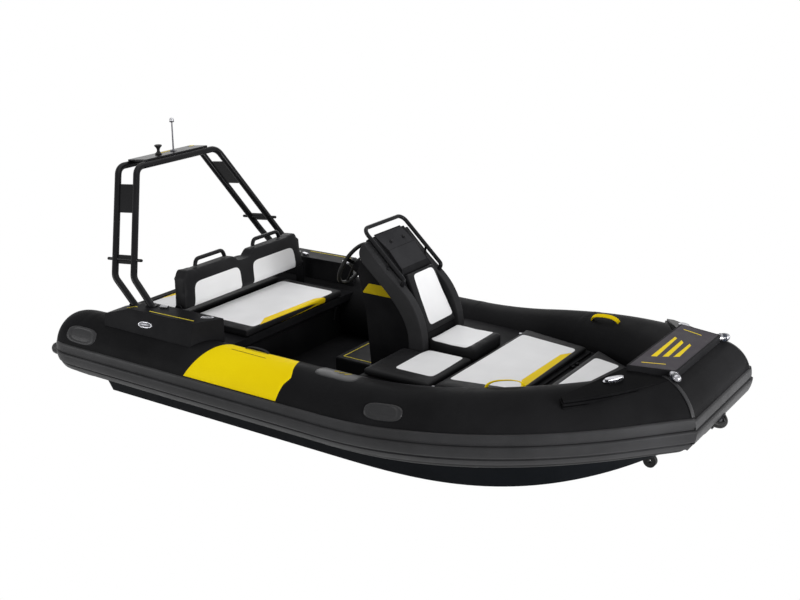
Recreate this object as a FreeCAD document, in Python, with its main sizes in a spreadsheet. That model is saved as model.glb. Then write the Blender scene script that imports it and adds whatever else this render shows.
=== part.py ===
import FreeCAD, Part
import math
import os
import Sketcher
from FreeCAD import Vector

# A small open rigid inflatable boat, afloat: a deep-vee hull under one inflated collar, with a bench
# and its fold-down backrest, a roll bar, a steering console and a cushioned foredeck.
# X runs to the bow, Y to port and Z up. The origin is amidships on the centreline, at the waterline.

os.makedirs("parts", exist_ok=True)
doc = FreeCAD.newDocument("rib_boat")

# The driving dimensions, in millimetres and degrees.
SIZES = [
    ("tube_radius", 231, "inflated collar, radius of a chamber"),
    ("tube_track", 854, "centreline of a side chamber, out from the keel line"),
    ("tube_height", 423, "centreline of the side chambers above the water"),
    ("tube_setback", 45, "from the hull's after end forward to the end of a side chamber"),
    ("cone_length", 250, "tapered end cap of a side chamber"),
    ("cone_tip_radius", 95, "radius at the end of that cap"),
    ("sheer_start_length", 100, "where the collar starts to rise, forward of amidships"),
    ("sheer_run_length", 600, "length over which it turns up"),
    ("sheer_angle", 9, "slope of the collar towards the bow, degrees"),
    ("bow_bend_radius", 1920, "bend of the side chamber, seen from above"),
    ("bow_bend_angle", 35, "how far that bend turns inwards, degrees"),
    ("bow_half_width", 352, "mitre between side and bow chambers, out from the keel line"),
    ("bond_gap", 0.3, "glue line between the collar and what is bonded to it"),
    ("strake_thick", 18, "rub strake, thickness at its main rib"),
    ("strake_thin", 12, "rub strake, thickness of its two side bands"),
    ("strake_groove", 7, "rub strake, thickness in its grooves"),
    ("panel_skin_thick", 2, "glued side panel"),
    ("panel_setback", 1120, "from the hull's after end forward to the side panel's lower corner"),
    ("panel_length", 746, "side panel along the boat, at its lower edge"),
    ("hull_aft", 2095, "after end of the hull, aft of amidships"),
    ("keel_depth", 250, "keel below the water"),
    ("keel_start_length", 200, "where the keel starts to rise, forward of amidships"),
    ("stem_overlap", 84, "stem's head ahead of the middle of the bow chamber"),
    ("stem_height", 390, "head of the stem above the water"),
    ("stem_half_width", 60, "half width of the stem's head at the chine"),
    ("chine_inset", 154, "chine inboard of the collar's middle"),
    ("hull_top_height", 215, "top of the hull above the water"),
    ("hull_top_inset", 54, "hull's upper edge inboard of the collar's middle"),
    ("floor_thick", 20, "deck plate"),
    ("board_thick", 45, "motor board at the stern"),
    ("board_rise", 35, "top of the motor board above the deck"),
    ("board_inset", 254, "side of the motor board inboard of the collar's middle"),
    ("board_taper", 130, "how much narrower its half width is at the water"),
    ("board_depth", 190, "lowest point of the motor board below the water"),
    ("bolt_radius", 6.5, "engine bolt hole"),
    ("bolt_upper_width", 327, "distance between the upper pair of engine bolts"),
    ("bolt_lower_width", 250, "distance between the lower pair of engine bolts"),
    ("bolt_edge_depth", 55, "upper pair below the top of the board"),
    ("bolt_row_depth", 200, "lower pair below the upper pair"),
    ("well_length", 105, "splash well, between the hull's after end and its bulkhead"),
    ("coaming_thick", 55, "bulkhead of the splash well"),
    ("coaming_rise", 45, "top of that bulkhead above the bench"),
    ("bench_inset", 114, "side of the bench inboard of the collar's middle"),
    ("bench_height", 365, "bench moulding above the deck"),
    ("bench_overhang", 95, "how far the bench's front edge stands out over its foot"),
    ("bench_lip_height", 55, "height of the bench's front lip"),
    ("seat_cushion_height", 60, "bench cushion above the bench moulding"),
    ("seat_cushion_inset", 110, "side of the bench cushions inboard of the backrest's end"),
    ("aft_seat_gap", 15, "between the splash well bulkhead and the after cushion"),
    ("aft_seat_length", 430, "after cushion along the boat"),
    ("back_zone_length", 40, "gap between the two cushions, under the backrest"),
    ("back_hinge_setback", 90, "backrest pivot ahead of the after cushion"),
    ("seat_length", 565, "front cushion along the boat"),
    ("seat_overhang", 20, "how far the front cushion stands out over the bench's edge"),
    ("back_hinge_height", 150, "backrest pivot above the bench"),
    ("back_overlap", 47, "how far the backrest reaches out over the collar's inner side"),
    ("back_depth", 110, "backrest, thickness"),
    ("back_below", 18, "backrest below its pivot"),
    ("back_above", 265, "backrest above its pivot"),
    ("back_lean_angle", 6, "lean of the backrest, degrees"),
    ("notch_width", 110, "notch in the middle of the backrest's top"),
    ("notch_depth", 45, "depth of that notch"),
    ("back_shoulder", 60, "slope of the backrest's upper corners"),
    ("grip_radius", 11, "tube of the backrest's grab handles"),
    ("grip_length", 270, "length of a backrest handle"),
    ("grip_height", 42, "height of a backrest handle"),
    ("grip_track", 310, "middle of a backrest handle, out from the keel line"),
    ("pivot_radius", 9, "backrest pivot pin"),
    ("pivot_gap", 0.08, "running clearance round the pin"),
    ("pivot_depth", 30, "pin inside the backrest"),
    ("bracket_thick", 8, "backrest bracket plate"),
    ("bracket_width", 70, "backrest bracket along the boat"),
    ("bracket_gap", 3, "between a bracket and the backrest"),
    ("box_setback", 25, "from the bench's front edge back to the quarter box's fore inner corner"),
    ("box_nose_length", 125, "how far its inner fore corner stands ahead of the outer one"),
    ("box_length", 920, "quarter box along the boat, on its inner side"),
    ("box_step_length", 690, "fore part of its top, before it falls away aft"),
    ("box_rise", 195, "top of the quarter box above the bench"),
    ("box_fall", 80, "how much lower its after end is"),
    ("box_overhang", 121, "outer side of the quarter box outboard of the collar's middle"),
    ("box_root_height", 77, "lowest point of the quarter box above the collar's middle"),
    ("box_draft", 45, "how far its outer side leans in"),
    ("arch_tube_radius", 24, "roll bar tube"),
    ("arch_foot_setback", 310, "foot of the front hoop ahead of the quarter box's after end"),
    ("arch_foot_inset", 54, "that foot inboard of the collar's middle"),
    ("arch_low_setback", 160, "lower bend of the front hoop behind its foot"),
    ("arch_low_inset", 64, "that bend inboard of the collar's middle"),
    ("arch_low_rise", 160, "that bend above the quarter box"),
    ("arch_top_setback", 280, "upper corner of the front hoop behind its lower bend"),
    ("arch_top_track", 420, "upper corner out from the keel line"),
    ("arch_top_rise", 685, "top of the front hoop above the lower bend"),
    ("arch_gap", 185, "from the front hoop to the rear hoop"),
    ("arch_drop_height", 20, "how much lower the rear hoop stands"),
    ("arch_bend_radius", 95, "bends of the roll bar"),
    ("foot_flange_radius", 42, "flange under a foot of the roll bar"),
    ("foot_flange_thick", 8, "its thickness"),
    ("leg_plate_thick", 6, "plates between the hoops"),
    ("top_plate_thick", 14, "plate on the top of the hoops"),
    ("cleat_radius", 11, "bar of the roll bar's rope cleats"),
    ("cleat_horn_length", 45, "how far a cleat's horn stands out past a hoop"),
    ("mast_radius", 5, "light mast"),
    ("mast_height", 235, "light mast above the top plate"),
    ("lamp_radius", 14, "all-round light on the mast"),
    ("horn_radius", 15, "horn on the top plate"),
    ("horn_height", 52, "its height"),
    ("console_shift", 120, "console's centre line to port of the keel line"),
    ("plinth_half_width", 200, "console plinth, half width"),
    ("plinth_length", 605, "console plinth along the boat, up to the foredeck"),
    ("plinth_height", 165, "console plinth above the deck"),
    ("console_height", 930, "console above its plinth, to the reference line of its outline"),
    ("console_length", 330, "the same outline along the boat, for one whole share"),
    ("core_half_width", 195, "console body, half width"),
    ("wing_thick", 72, "side wing of the console"),
    ("wing_gap", 0.3, "joint between wing and body"),
    ("dash_half_width", 158, "raised dash plate, half width"),
    ("rest_thick", 42, "cushion on the console's front"),
    ("rest_top_half_width", 168, "that cushion, half width at its top"),
    ("rest_foot_half_width", 190, "that cushion, half width at its foot"),
    ("foredeck_aft_length", 100, "after face of the foredeck, forward of amidships"),
    ("foredeck_height", 345, "foredeck above the deck"),
    ("foredeck_setback", 246, "fore end of the foredeck behind the middle of the bow chamber"),
    ("pad_inset", 222, "outer edge of the foredeck cushions inboard of the collar's middle"),
    ("cushion_height", 54, "foredeck cushion above the foredeck"),
    ("cushion_gap", 8, "joint between foredeck cushions"),
    ("seat_pad_rise", 50, "how much higher the cushion against the console is"),
    ("lid_setback", 525, "bow locker lid, after edge ahead of the foredeck's after face"),
    ("lid_length", 540, "bow locker lid along the boat"),
    ("lid_thick", 16, "bow locker lid"),
    ("lid_side_gap", 41, "between the lid's fore corner and the collar"),
    ("locker_rim", 60, "lid beyond the bow locker's opening, fore and aft"),
    ("locker_half_width", 380, "bow locker opening, half width"),
    ("locker_depth", 195, "bow locker below the foredeck"),
    ("hinge_radius", 7, "hinge barrel of the bow locker's lid"),
    ("hinge_pin_radius", 2.5, "pin in that barrel"),
    ("hinge_knuckle_length", 30, "one knuckle of that barrel"),
    ("hinge_track", 250, "middle of a hinge out from the keel line"),
    ("forward_pad_length", 320, "cushion ahead of the locker along the boat"),
    ("step_overlap", 69, "fore edge of the bow step ahead of the middle of the bow chamber"),
    ("step_length", 275, "bow step along the boat"),
    ("step_rise", 38, "top of the bow step above the bow chamber's crown"),
    ("step_aft_half_width", 420, "bow step, half width at its after edge"),
    ("step_fore_half_width", 360, "bow step, half width at its fore edge"),
    ("step_rim", 12, "rim round the bow step's pad"),
    ("step_pad_thick", 6, "non-slip pad on the bow step"),
    ("wedge_rib", 9, "how far a rib of the bow's side fairing stands out"),
    ("wedge_depth", 120, "depth of that fairing before it is cut to the collar"),
    ("cleat_plate_length", 120, "oval plate of a bow cleat"),
    ("cleat_plate_width", 46, "its width"),
    ("cleat_plate_thick", 9, "its thickness"),
    ("bow_light_radius", 24, "side light at a fore corner of the bow step"),
    ("bow_light_length", 62, "its length"),
    ("rail_radius", 14, "console handrail"),
    ("rail_bend_radius", 55, "bends of the handrail"),
    ("wheel_radius", 160, "steering wheel, to the middle of its rim"),
    ("wheel_rim_radius", 14, "radius of the rim's section"),
    ("wheel_tilt_angle", 25, "slope of the steering column, degrees"),
    ("hub_radius", 38, "wheel hub"),
    ("hub_length", 34, "wheel hub along the column"),
    ("boss_radius", 45, "helm boss on the console"),
    ("shaft_gap", 0.3, "running gap between hub and helm boss"),
    ("handle_radius", 14, "yellow grab handle on the collar"),
    ("handle_length", 190, "its length"),
    ("handle_rise", 48, "its height"),
    ("handle_setback", 780, "its middle behind the middle of the bow chamber"),
    ("eye_radius", 11, "bore of the tow eye on the stem"),
    ("eye_outer_radius", 42, "outer radius of that eye"),
    ("eye_height", 188, "middle of that eye above the water"),
    ("eye_standoff", 32, "middle of that eye ahead of the stem"),
    ("eye_thick", 30, "thickness of that eye"),
    ("ring_patch_radius", 62, "round patch of the lifting ring on the bow chamber"),
    ("ring_patch_height", 24, "how far that patch stands out"),
    ("ring_radius", 34, "lifting ring, to the middle of its rod"),
    ("ring_rod_radius", 5, "rod of the lifting ring"),
    ("ring_drop_angle", 31, "how far below level the lifting ring points, degrees"),
]

# Places that follow from the sizes, all aft of amidships, out from the keel line or above the water.
PLACES = {
    "tube_aft": "hull_aft - tube_setback",
    "panel_aft": "hull_aft - panel_setback",
    "floor_top": "hull_top_height + floor_thick",
    "chine_track": "tube_track - chine_inset",
    "hull_top_track": "tube_track - hull_top_inset",
    "board_top": "floor_top + board_rise",
    "board_track": "tube_track - board_inset",
    "board_bottom_track": "board_track - board_taper",
    "well_aft": "hull_aft - well_length",
    "bench_track": "tube_track - bench_inset",
    "bench_top": "floor_top + bench_height",
    "coaming_top": "bench_top + coaming_rise",
    "back_track": "tube_track - tube_radius + back_overlap",
    "seat_cushion_track": "back_track - seat_cushion_inset",
    "aft_seat_back": "well_aft - coaming_thick - aft_seat_gap",
    "aft_seat_front": "aft_seat_back - aft_seat_length",
    "back_hinge_aft": "aft_seat_front - back_hinge_setback",
    "back_hinge_level": "bench_top + back_hinge_height",
    "seat_back": "aft_seat_front - back_zone_length",
    "seat_front": "seat_back - seat_length",
    "bench_front": "seat_front + seat_overhang",
    "bench_foot": "bench_front + bench_overhang",
    "box_nose": "bench_front + box_setback",
    "box_front": "box_nose + box_nose_length",
    "box_step": "box_nose + box_step_length",
    "box_aft": "box_nose + box_length",
    "box_outer": "tube_track + box_overhang",
    "box_top": "bench_top + box_rise",
    "box_low_top": "box_top - box_fall",
    "box_bottom": "tube_height + box_root_height",
    "arch_foot_aft": "box_aft - arch_foot_setback",
    "arch_foot_track": "tube_track - arch_foot_inset",
    "arch_low_aft": "arch_foot_aft + arch_low_setback",
    "arch_low_track": "tube_track - arch_low_inset",
    "arch_low_level": "box_top + arch_low_rise",
    "arch_top_aft": "arch_low_aft + arch_top_setback",
    "arch_top_level": "arch_low_level + arch_top_rise",
    "plinth_aft": "plinth_length - foredeck_aft_length",
    "plinth_top": "floor_top + plinth_height",
    "rail_track": "core_half_width + wing_gap + wing_thick / 2",
    "foredeck_top": "floor_top + foredeck_height",
    "pad_track": "tube_track - pad_inset",
    "lid_aft": "foredeck_aft_length + lid_setback",
    "lid_fore": "lid_aft + lid_length",
    "lid_top": "foredeck_top + lid_thick",
    "locker_aft": "lid_aft + locker_rim",
    "locker_fore": "lid_fore - locker_rim",
    "locker_floor": "foredeck_top - locker_depth",
}

sheet = doc.addObject("Spreadsheet::Sheet", "Sizes")
for row, (alias, value, note) in enumerate(SIZES, start=1):
    sheet.set(f"A{row}", note)
    sheet.set(f"B{row}", str(value))
    sheet.setAlias(f"B{row}", alias)
doc.recompute()


def cell(text):
    """An expression on the sheet: an alias gets the sheet's name, a place its own expression."""
    aliases = {alias for alias, _, _ in SIZES}
    words, word = [], ""
    for letter in text + " ":
        if letter.isalnum() or letter == "_":
            word += letter
            continue
        if word in PLACES:
            word = "(" + cell(PLACES[word]) + ")"
        words.append("Sizes." + word if word in aliases else word)
        words.append(letter)
        word = ""
    return "".join(words).strip()


def evaluate(text):
    """The value of such an expression in millimetres."""
    return float(sheet.evalExpression(cell(text)))


class Cells:
    """The sizes and places as attributes, each a plain number."""

    def __getattr__(self, name):
        return evaluate(name)


c = Cells()
nodes = []


def keep(obj, label):
    """Gives a finished sub-part its label and puts it on the list of nodes."""
    obj.Label = label
    nodes.append(obj)
    return obj


def feature(label, shape):
    """A sub-part whose shape no single feature makes."""
    obj = doc.addObject("Part::Feature", "shape_" + label)
    place = shape.Placement
    obj.Shape = shape
    obj.Placement = place
    return keep(obj, label)


def sketch_on(body, role, name, points):
    """A closed outline on one of the body's own planes; each corner is a pair of expressions."""
    plane = next(f for f in body.Origin.OriginFeatures if f.Role == role)
    sketch = body.newObject("Sketcher::SketchObject", name)
    sketch.AttachmentSupport = [(plane, "")]
    sketch.MapMode = "FlatFace"
    places = [Vector(evaluate(u), evaluate(v), 0) for u, v in points]
    count = len(points)
    for i in range(count):
        sketch.addGeometry(Part.LineSegment(places[i], places[(i + 1) % count]), False)
    for i in range(count):
        sketch.addConstraint(Sketcher.Constraint("Coincident", i, 2, (i + 1) % count, 1))
    for i, (u, v) in enumerate(points):
        for kind, text, place in (("DistanceX", u, places[i].x), ("DistanceY", v, places[i].y)):
            row = sketch.addConstraint(Sketcher.Constraint(kind, -1, 1, i, 1, place))
            sketch.setExpression(f"Constraints[{row}]", cell(text))
    return sketch


def profile_body(label, role, points, length, start=None):
    """A part cut from one outline: a pad, half each way or from a start plane."""
    body = doc.addObject("PartDesign::Body", "body_" + label)
    sketch = sketch_on(body, role, "outline_" + label, points)
    pad = body.newObject("PartDesign::Pad", "pad_" + label)
    pad.Profile = sketch
    pad.setExpression("Length", cell(length))
    pad.Midplane = start is None
    body.Tip = pad
    if start is not None:
        axis = {"XY_Plane": "z", "XZ_Plane": "y", "YZ_Plane": "x"}[role]
        body.setExpression(f"Placement.Base.{axis}", cell(start))
    return body


def box(label, low, high):
    """A plain block between two corners, each a triple of expressions."""
    obj = doc.addObject("Part::Box", "box_" + label)
    for side, axis, a, b in zip(("Length", "Width", "Height"), "xyz", low, high):
        obj.setExpression(side, cell(f"({b}) - ({a})"))
        obj.setExpression(f"Placement.Base.{axis}", cell(a))
    return obj


def mirrored(shape):
    """The port twin of a starboard shape."""
    return shape.mirror(Vector(0, 0, 0), Vector(0, 1, 0))


def unit(v):
    """The vector with length one."""
    return v * (1 / v.Length)


def rounded_path(points, radii):
    """Straight runs through the points, with an arc of the given radius at each inner point."""
    edges, last = [], points[0]
    for i in range(1, len(points) - 1):
        before, after = unit(points[i - 1] - points[i]), unit(points[i + 1] - points[i])
        turn = math.pi - before.getAngle(after)
        reach = radii[i - 1] * math.tan(turn / 2)
        a, b = points[i] + before * reach, points[i] + after * reach
        middle = unit(before + after)
        hub = points[i] + middle * (radii[i - 1] / math.cos(turn / 2))
        edges.append(Part.makeLine(last, a))
        edges.append(Part.Arc(a, hub - middle * radii[i - 1], b).toShape())
        last = b
    edges.append(Part.makeLine(last, points[-1]))
    return Part.Wire(edges)


def pipe(path, radius):
    """A round bar along a path."""
    start = path.Edges[0].valueAt(path.Edges[0].FirstParameter)
    along = path.Edges[0].tangentAt(path.Edges[0].FirstParameter)
    section = Part.Wire([Part.makeCircle(radius, start, along)])
    return path.makePipeShell([section], True, False)


def prism(points, along):
    """A solid between a flat outline and the same outline moved along a vector."""
    return Part.Face(Part.makePolygon(points + points[:1])).extrude(along)


def starboard(v):
    """The same place on the starboard side."""
    return Vector(v.x, -v.y, v.z)



# The inflated collar: a side chamber runs forward level, turns up into the sheer, bends inwards over the
# bow and meets the short chamber across the bow in a mitre. One path serves the chamber, its rub strake,
# and every piece that is cut to seat on it.
rise = math.radians(c.sheer_angle)
bend = math.radians(c.bow_bend_angle)
ahead = Vector(math.cos(rise), 0, math.sin(rise))
inward = Vector(0, -1, 0)
tube_start = Vector(-c.tube_aft, c.tube_track, c.tube_height)
rise_start = Vector(c.sheer_start_length, c.tube_track, c.tube_height)
rise_radius = c.sheer_run_length / math.sin(rise)
rise_hub = rise_start + Vector(0, 0, rise_radius)


def on_rise(angle):
    """A place on the upward bend."""
    return rise_hub + Vector(math.sin(angle), 0, -math.cos(angle)) * rise_radius


def on_bend(angle):
    """A place on the inward bend."""
    out = ahead * math.sin(angle) + inward * (1 - math.cos(angle))
    return on_rise(rise) + out * c.bow_bend_radius


bow_heading = ahead * math.cos(bend) + inward * math.sin(bend)
bend_end = on_bend(bend)
mitre = bend_end + bow_heading * ((bend_end.y - c.bow_half_width) / math.sin(bend))
mitre_normal = unit(bow_heading + inward)
stem_reach = mitre.x + c.stem_overlap
foredeck_end = mitre.x - c.foredeck_setback
step_fore = mitre.x + c.step_overlap
step_aft = step_fore - c.step_length
step_top = mitre.z + c.tube_radius + c.step_rise


def collar_path(extra):
    """The port chamber's centre line, run on past the mitre by a little."""
    return Part.Wire([
        Part.makeLine(tube_start, rise_start),
        Part.Arc(rise_start, on_rise(rise / 2), on_rise(rise)).toShape(),
        Part.Arc(on_rise(rise), on_bend(bend / 2), bend_end).toShape(),
        Part.makeLine(bend_end, mitre + bow_heading * extra),
    ])


def beyond_mitre():
    """A large block that holds everything inboard of the port mitre."""
    reach = 4 * c.tube_radius
    block = Part.makeBox(2 * reach, 2 * reach, reach, Vector(-reach, -reach, 0))
    block.Placement = FreeCAD.Placement(mitre, FreeCAD.Rotation(Vector(0, 0, 1), mitre_normal))
    return block


def side_chamber(radius):
    """The port side chamber as a solid of the given radius."""
    return pipe(collar_path(2 * c.tube_radius), radius).cut(beyond_mitre())


def bow_chamber(radius):
    """The chamber across the bow, between the two mitres."""
    across = mitre.y + 2 * c.tube_radius
    bar = Part.makeCylinder(radius, 2 * across, Vector(mitre.x, -across, mitre.z), Vector(0, 1, 0))
    bar = bar.common(beyond_mitre())
    return bar.common(mirrored(beyond_mitre()))


seat_radius = c.tube_radius + c.bond_gap
collar_seat_port = side_chamber(seat_radius)
collar_seat = [collar_seat_port, mirrored(collar_seat_port), bow_chamber(seat_radius)]

port_tube = side_chamber(c.tube_radius)
feature("tube_port", port_tube)
feature("tube_starboard", mirrored(port_tube))
feature("tube_bow", bow_chamber(c.tube_radius))

# End caps: the side chambers close in a blunt cone with a rounded tip.
cone_outline_shares = [(0, 1), (0.35, 0.97), (0.7, 0.82), (0.92, 0.6)]


def cap_curve(grow, shares):
    """The cap's outline beside its centre line, from the chamber towards the tip, larger by grow."""
    fall = c.tube_radius - c.cone_tip_radius
    curve = Part.BSplineCurve()
    curve.interpolate([Vector(-c.tube_aft - along * c.cone_length, c.cone_tip_radius + fall * wide + grow, 0)
                       for along, wide in shares])
    return curve.toShape()


def end_cone(grow):
    """The port cap, turned round the chamber's centre line and larger by grow."""
    side = cap_curve(grow, cone_outline_shares)
    shoulder = side.Vertexes[-1].Point
    tip = Vector(-c.tube_aft - c.cone_length - grow, c.cone_tip_radius, 0)
    axis_tip = Vector(tip.x, 0, 0)
    axis_start = Vector(-c.tube_aft, 0, 0)
    wire = Part.Wire([side, Part.makeLine(shoulder, tip), Part.makeLine(tip, axis_tip),
                      Part.makeLine(axis_tip, axis_start), Part.makeLine(axis_start, side.Vertexes[0].Point)])
    solid = Part.Face(wire).revolve(Vector(0, 0, 0), Vector(1, 0, 0), 360)
    solid.translate(Vector(0, c.tube_track, c.tube_height))
    return solid


feature("tube_end_cones", Part.makeCompound([end_cone(0), mirrored(end_cone(0))]))
collar_seat += [end_cone(c.bond_gap), mirrored(end_cone(c.bond_gap))]

# Rub strake: a thick ribbed rubber band bonded along the outside of the collar.
# Each band gives where it ends, in degrees above the collar's middle, and its thickness.
strake_low_angle = -40
strake_bands = [(-27, c.strake_thin), (-23, c.strake_groove), (-4, c.strake_thick),
                (0, c.strake_groove), (13, c.strake_thin)]


def strake_section(middle, out):
    """The strake's section about a chamber's middle, with its outer side towards out."""
    def at(angle, radius):
        a = math.radians(angle)
        return middle + out * (radius * math.cos(a)) + Vector(0, 0, radius * math.sin(a))

    inner = c.tube_radius + c.bond_gap
    edges, low = [], strake_low_angle
    edges.append(Part.makeLine(at(low, inner), at(low, c.tube_radius + strake_bands[0][1])))
    for i, (high, thick) in enumerate(strake_bands):
        radius = c.tube_radius + thick
        edges.append(Part.Arc(at(low, radius), at((low + high) / 2, radius), at(high, radius)).toShape())
        after = strake_bands[i + 1][1] + c.tube_radius if i + 1 < len(strake_bands) else inner
        edges.append(Part.makeLine(at(high, radius), at(high, after)))
        low = high
    half = (strake_low_angle + low) / 2
    edges.append(Part.Arc(at(low, inner), at(half, inner), at(strake_low_angle, inner)).toShape())
    return Part.Wire(edges)


def cap_band(low, high, thick):
    """One band of the strake carried on round the port end cap: its wall turned through the band's angle."""
    inner, outer = (cap_curve(grow, cone_outline_shares) for grow in (c.bond_gap, thick))
    wire = Part.Wire([inner, Part.makeLine(inner.Vertexes[-1].Point, outer.Vertexes[-1].Point), outer,
                      Part.makeLine(outer.Vertexes[0].Point, inner.Vertexes[0].Point)])
    along = Vector(1, 0, 0)
    wall = Part.Face(wire)
    wall.rotate(Vector(0, 0, 0), along, low)
    band = wall.revolve(Vector(0, 0, 0), along, high - low)
    band.translate(Vector(0, c.tube_track, c.tube_height))
    return band


side_strake = collar_path(2 * c.tube_radius).makePipeShell(
    [strake_section(tube_start, Vector(0, 1, 0))], True, False)
side_strake = side_strake.cut(beyond_mitre())
band_low = strake_low_angle
for band_high, band_thick in strake_bands:
    side_strake = side_strake.fuse(cap_band(band_low, band_high, band_thick))
    band_low = band_high
feature("rub_strake_port", side_strake)
feature("rub_strake_starboard", mirrored(side_strake))
bow_strake_reach = mitre.y + 2 * c.tube_radius
bow_strake = Part.Face(strake_section(Vector(mitre.x, -bow_strake_reach, mitre.z), Vector(1, 0, 0)))
bow_strake = bow_strake.extrude(Vector(0, 2 * bow_strake_reach, 0))
bow_strake = bow_strake.common(beyond_mitre()).common(mirrored(beyond_mitre()))
feature("rub_strake_bow", bow_strake)

# Side panels: a thin coloured skin bonded round the outer face of each side chamber. Its ends slope
# towards each other, each by a share of its length over its whole height.
panel_low_angle, panel_high_angle = 14, 110
panel_aft_slope_share, panel_fore_slope_share = 0.177, 0.099


def side_panel():
    """The port panel: part of a thin ring, cut by two raked planes."""
    middle = Vector(-c.panel_aft, c.tube_track, c.tube_height)
    along = Vector(1, 0, 0)
    inner = Part.makeCylinder(c.tube_radius + c.bond_gap, c.panel_length, middle, along)
    outer = Part.makeCylinder(c.tube_radius + c.bond_gap + c.panel_skin_thick, c.panel_length, middle, along)
    half = (panel_low_angle + panel_high_angle) / 2
    spread = [(panel_low_angle, 1), (half, 2), (panel_high_angle, 1)]
    fan = [middle] + [middle + Vector(0, math.cos(math.radians(a)), math.sin(math.radians(a)))
                      * (2 * c.tube_radius * far) for a, far in spread]
    low, high = c.tube_height, c.tube_height + 2 * c.tube_radius
    rake = c.panel_length * (high - low) / c.tube_radius
    front = [Vector(-c.panel_aft, 0, low), Vector(c.panel_length - c.panel_aft, 0, low),
             Vector(c.panel_length - c.panel_aft - rake * panel_fore_slope_share, 0, high),
             Vector(rake * panel_aft_slope_share - c.panel_aft, 0, high)]
    return outer.cut(inner).common(prism(fan, along * c.panel_length)).common(
        prism(front, Vector(0, 2 * c.tube_track, 0)))


feature("side_panels", Part.makeCompound([side_panel(), mirrored(side_panel())]))

# Hull: deep vee with a hard chine, lofted through stations, its upper edge hollowed to carry the collar.
# It is level aft of amidships. Forward of it the keel, the chine's width and the chine's height each follow
# a power of the distance from where they start to change up to the stem.
station_shares = [0.0, 0.1, 0.2, 0.32, 0.44, 0.56, 0.68, 0.78, 0.87, 0.94, 1.0]
keel_power, chine_power, lift_power = 2.2, 2.6, 2.5


def collar_middle(x):
    """Where the port chamber's centre line is at a place along the boat."""
    cut = Part.Plane(Vector(x, 0, 0), Vector(1, 0, 0))
    for edge in collar_path(c.tube_radius).Edges:
        hits = edge.Curve.intersect(cut)
        for point in (hits[0] if hits else []):
            place = Vector(point.X, point.Y, point.Z)
            if edge.distToShape(Part.Vertex(place))[0] < c.bond_gap:
                return place
    return tube_start


def fade(x, start, power):
    """How far a line of the hull has changed at a place: 0 up to its start, 1 at the stem."""
    return (max(x - start, 0) / (stem_reach - start)) ** power


def hull_station(along):
    """One station: keel, chine and upper edge, closed across the top."""
    x = along * stem_reach
    middle = collar_middle(min(x, mitre.x))
    drop = c.tube_height - c.hull_top_height
    top = Vector(x, middle.y - (c.tube_track - c.hull_top_track), middle.z - drop)
    if x > mitre.x:
        top = Vector(x, c.bow_half_width / 2, top.z)
    width = c.chine_track - (c.chine_track - c.stem_half_width) * fade(x, 0, chine_power)
    corner = Vector(x, width, (top.z - c.stem_half_width) * fade(x, 0, lift_power))
    keel_lift = (c.stem_height + c.keel_depth) * fade(x, c.keel_start_length, keel_power)
    bottom = Vector(x, 0, keel_lift - c.keel_depth)
    return Part.makePolygon([bottom, corner, top, starboard(top), starboard(corner), bottom])


run_aft = Part.Face(hull_station(0)).extrude(Vector(-c.hull_aft, 0, 0))
hull = Part.makeLoft([hull_station(share) for share in station_shares], True, False).fuse(run_aft)
for seat in collar_seat:
    hull = hull.cut(seat)
hull = max(hull.Solids, key=lambda solid: solid.Volume)
feature("hull", hull)

# Deck plate over the hull, from the stern to the foredeck, cut to the collar at its sides.
collar_tool = doc.addObject("Part::Feature", "collar_seats")
collar_tool.Shape = Part.makeCompound(collar_seat)


def cut_to_collar(label, blank):
    """A sub-part made from a blank by cutting it to the collar."""
    cut = doc.addObject("Part::Cut", "cut_" + label)
    cut.Base = blank
    cut.Tool = collar_tool
    return keep(cut, label)


cut_to_collar("deck_floor", box("deck_floor", ("-hull_aft", "-tube_track", "hull_top_height"),
                                ("foredeck_aft_length", "tube_track", "floor_top")))

# Motor board across the stern, its bolt holes to the common outboard pattern.
board = profile_body("transom_blank", "YZ_Plane", [
    ("0", "-board_depth"), ("board_bottom_track", "0"), ("board_track", "board_top - floor_thick"),
    ("board_track - floor_thick", "board_top"), ("floor_thick - board_track", "board_top"),
    ("-board_track", "board_top - floor_thick"), ("-board_bottom_track", "0")],
    "board_thick", "-hull_aft - board_thick")
doc.recompute()
drills = []
for name, spacing, drop in (("upper", "bolt_upper_width", "bolt_edge_depth"),
                            ("lower", "bolt_lower_width", "bolt_edge_depth + bolt_row_depth")):
    for side, sign in (("port", "1"), ("starboard", "-1")):
        drill = doc.addObject("Part::Cylinder", f"drill_{name}_{side}")
        drill.setExpression("Radius", cell("bolt_radius"))
        drill.setExpression("Height", cell("3 * board_thick"))
        drill.Placement.Rotation = FreeCAD.Rotation(Vector(0, 0, 1), Vector(1, 0, 0))
        drill.setExpression("Placement.Base.x", cell("-hull_aft - 2 * board_thick"))
        drill.setExpression("Placement.Base.y", cell(f"{sign} * {spacing} / 2"))
        drill.setExpression("Placement.Base.z", cell(f"board_top - ({drop})"))
        drills.append(drill)
drill_set = doc.addObject("Part::MultiFuse", "engine_drills")
drill_set.Shapes = drills
transom = doc.addObject("Part::Cut", "transom_cut")
transom.Base = board
transom.Tool = drill_set
keep(transom, "transom_board")

# Bench moulding: locker under both seats, with a lip along its front and the splash well bulkhead behind.
bench = profile_body("bench_blank", "XZ_Plane", [
    ("-well_aft", "floor_top"), ("-bench_foot", "floor_top"),
    ("-bench_foot + bench_lip_height / 2", "bench_top - 2 * bench_lip_height"),
    ("-bench_front", "bench_top - bench_lip_height"), ("-bench_front", "bench_top"),
    ("-well_aft + coaming_thick", "bench_top"), ("-well_aft + coaming_thick", "coaming_top"),
    ("-well_aft", "coaming_top")], "2 * bench_track")
bench.Label = "bench_blank"
cut_to_collar("bench_base", bench)


def cushion(label, low, high):
    """A plain block for a cushion."""
    return keep(box(label, low, high), label)


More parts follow.
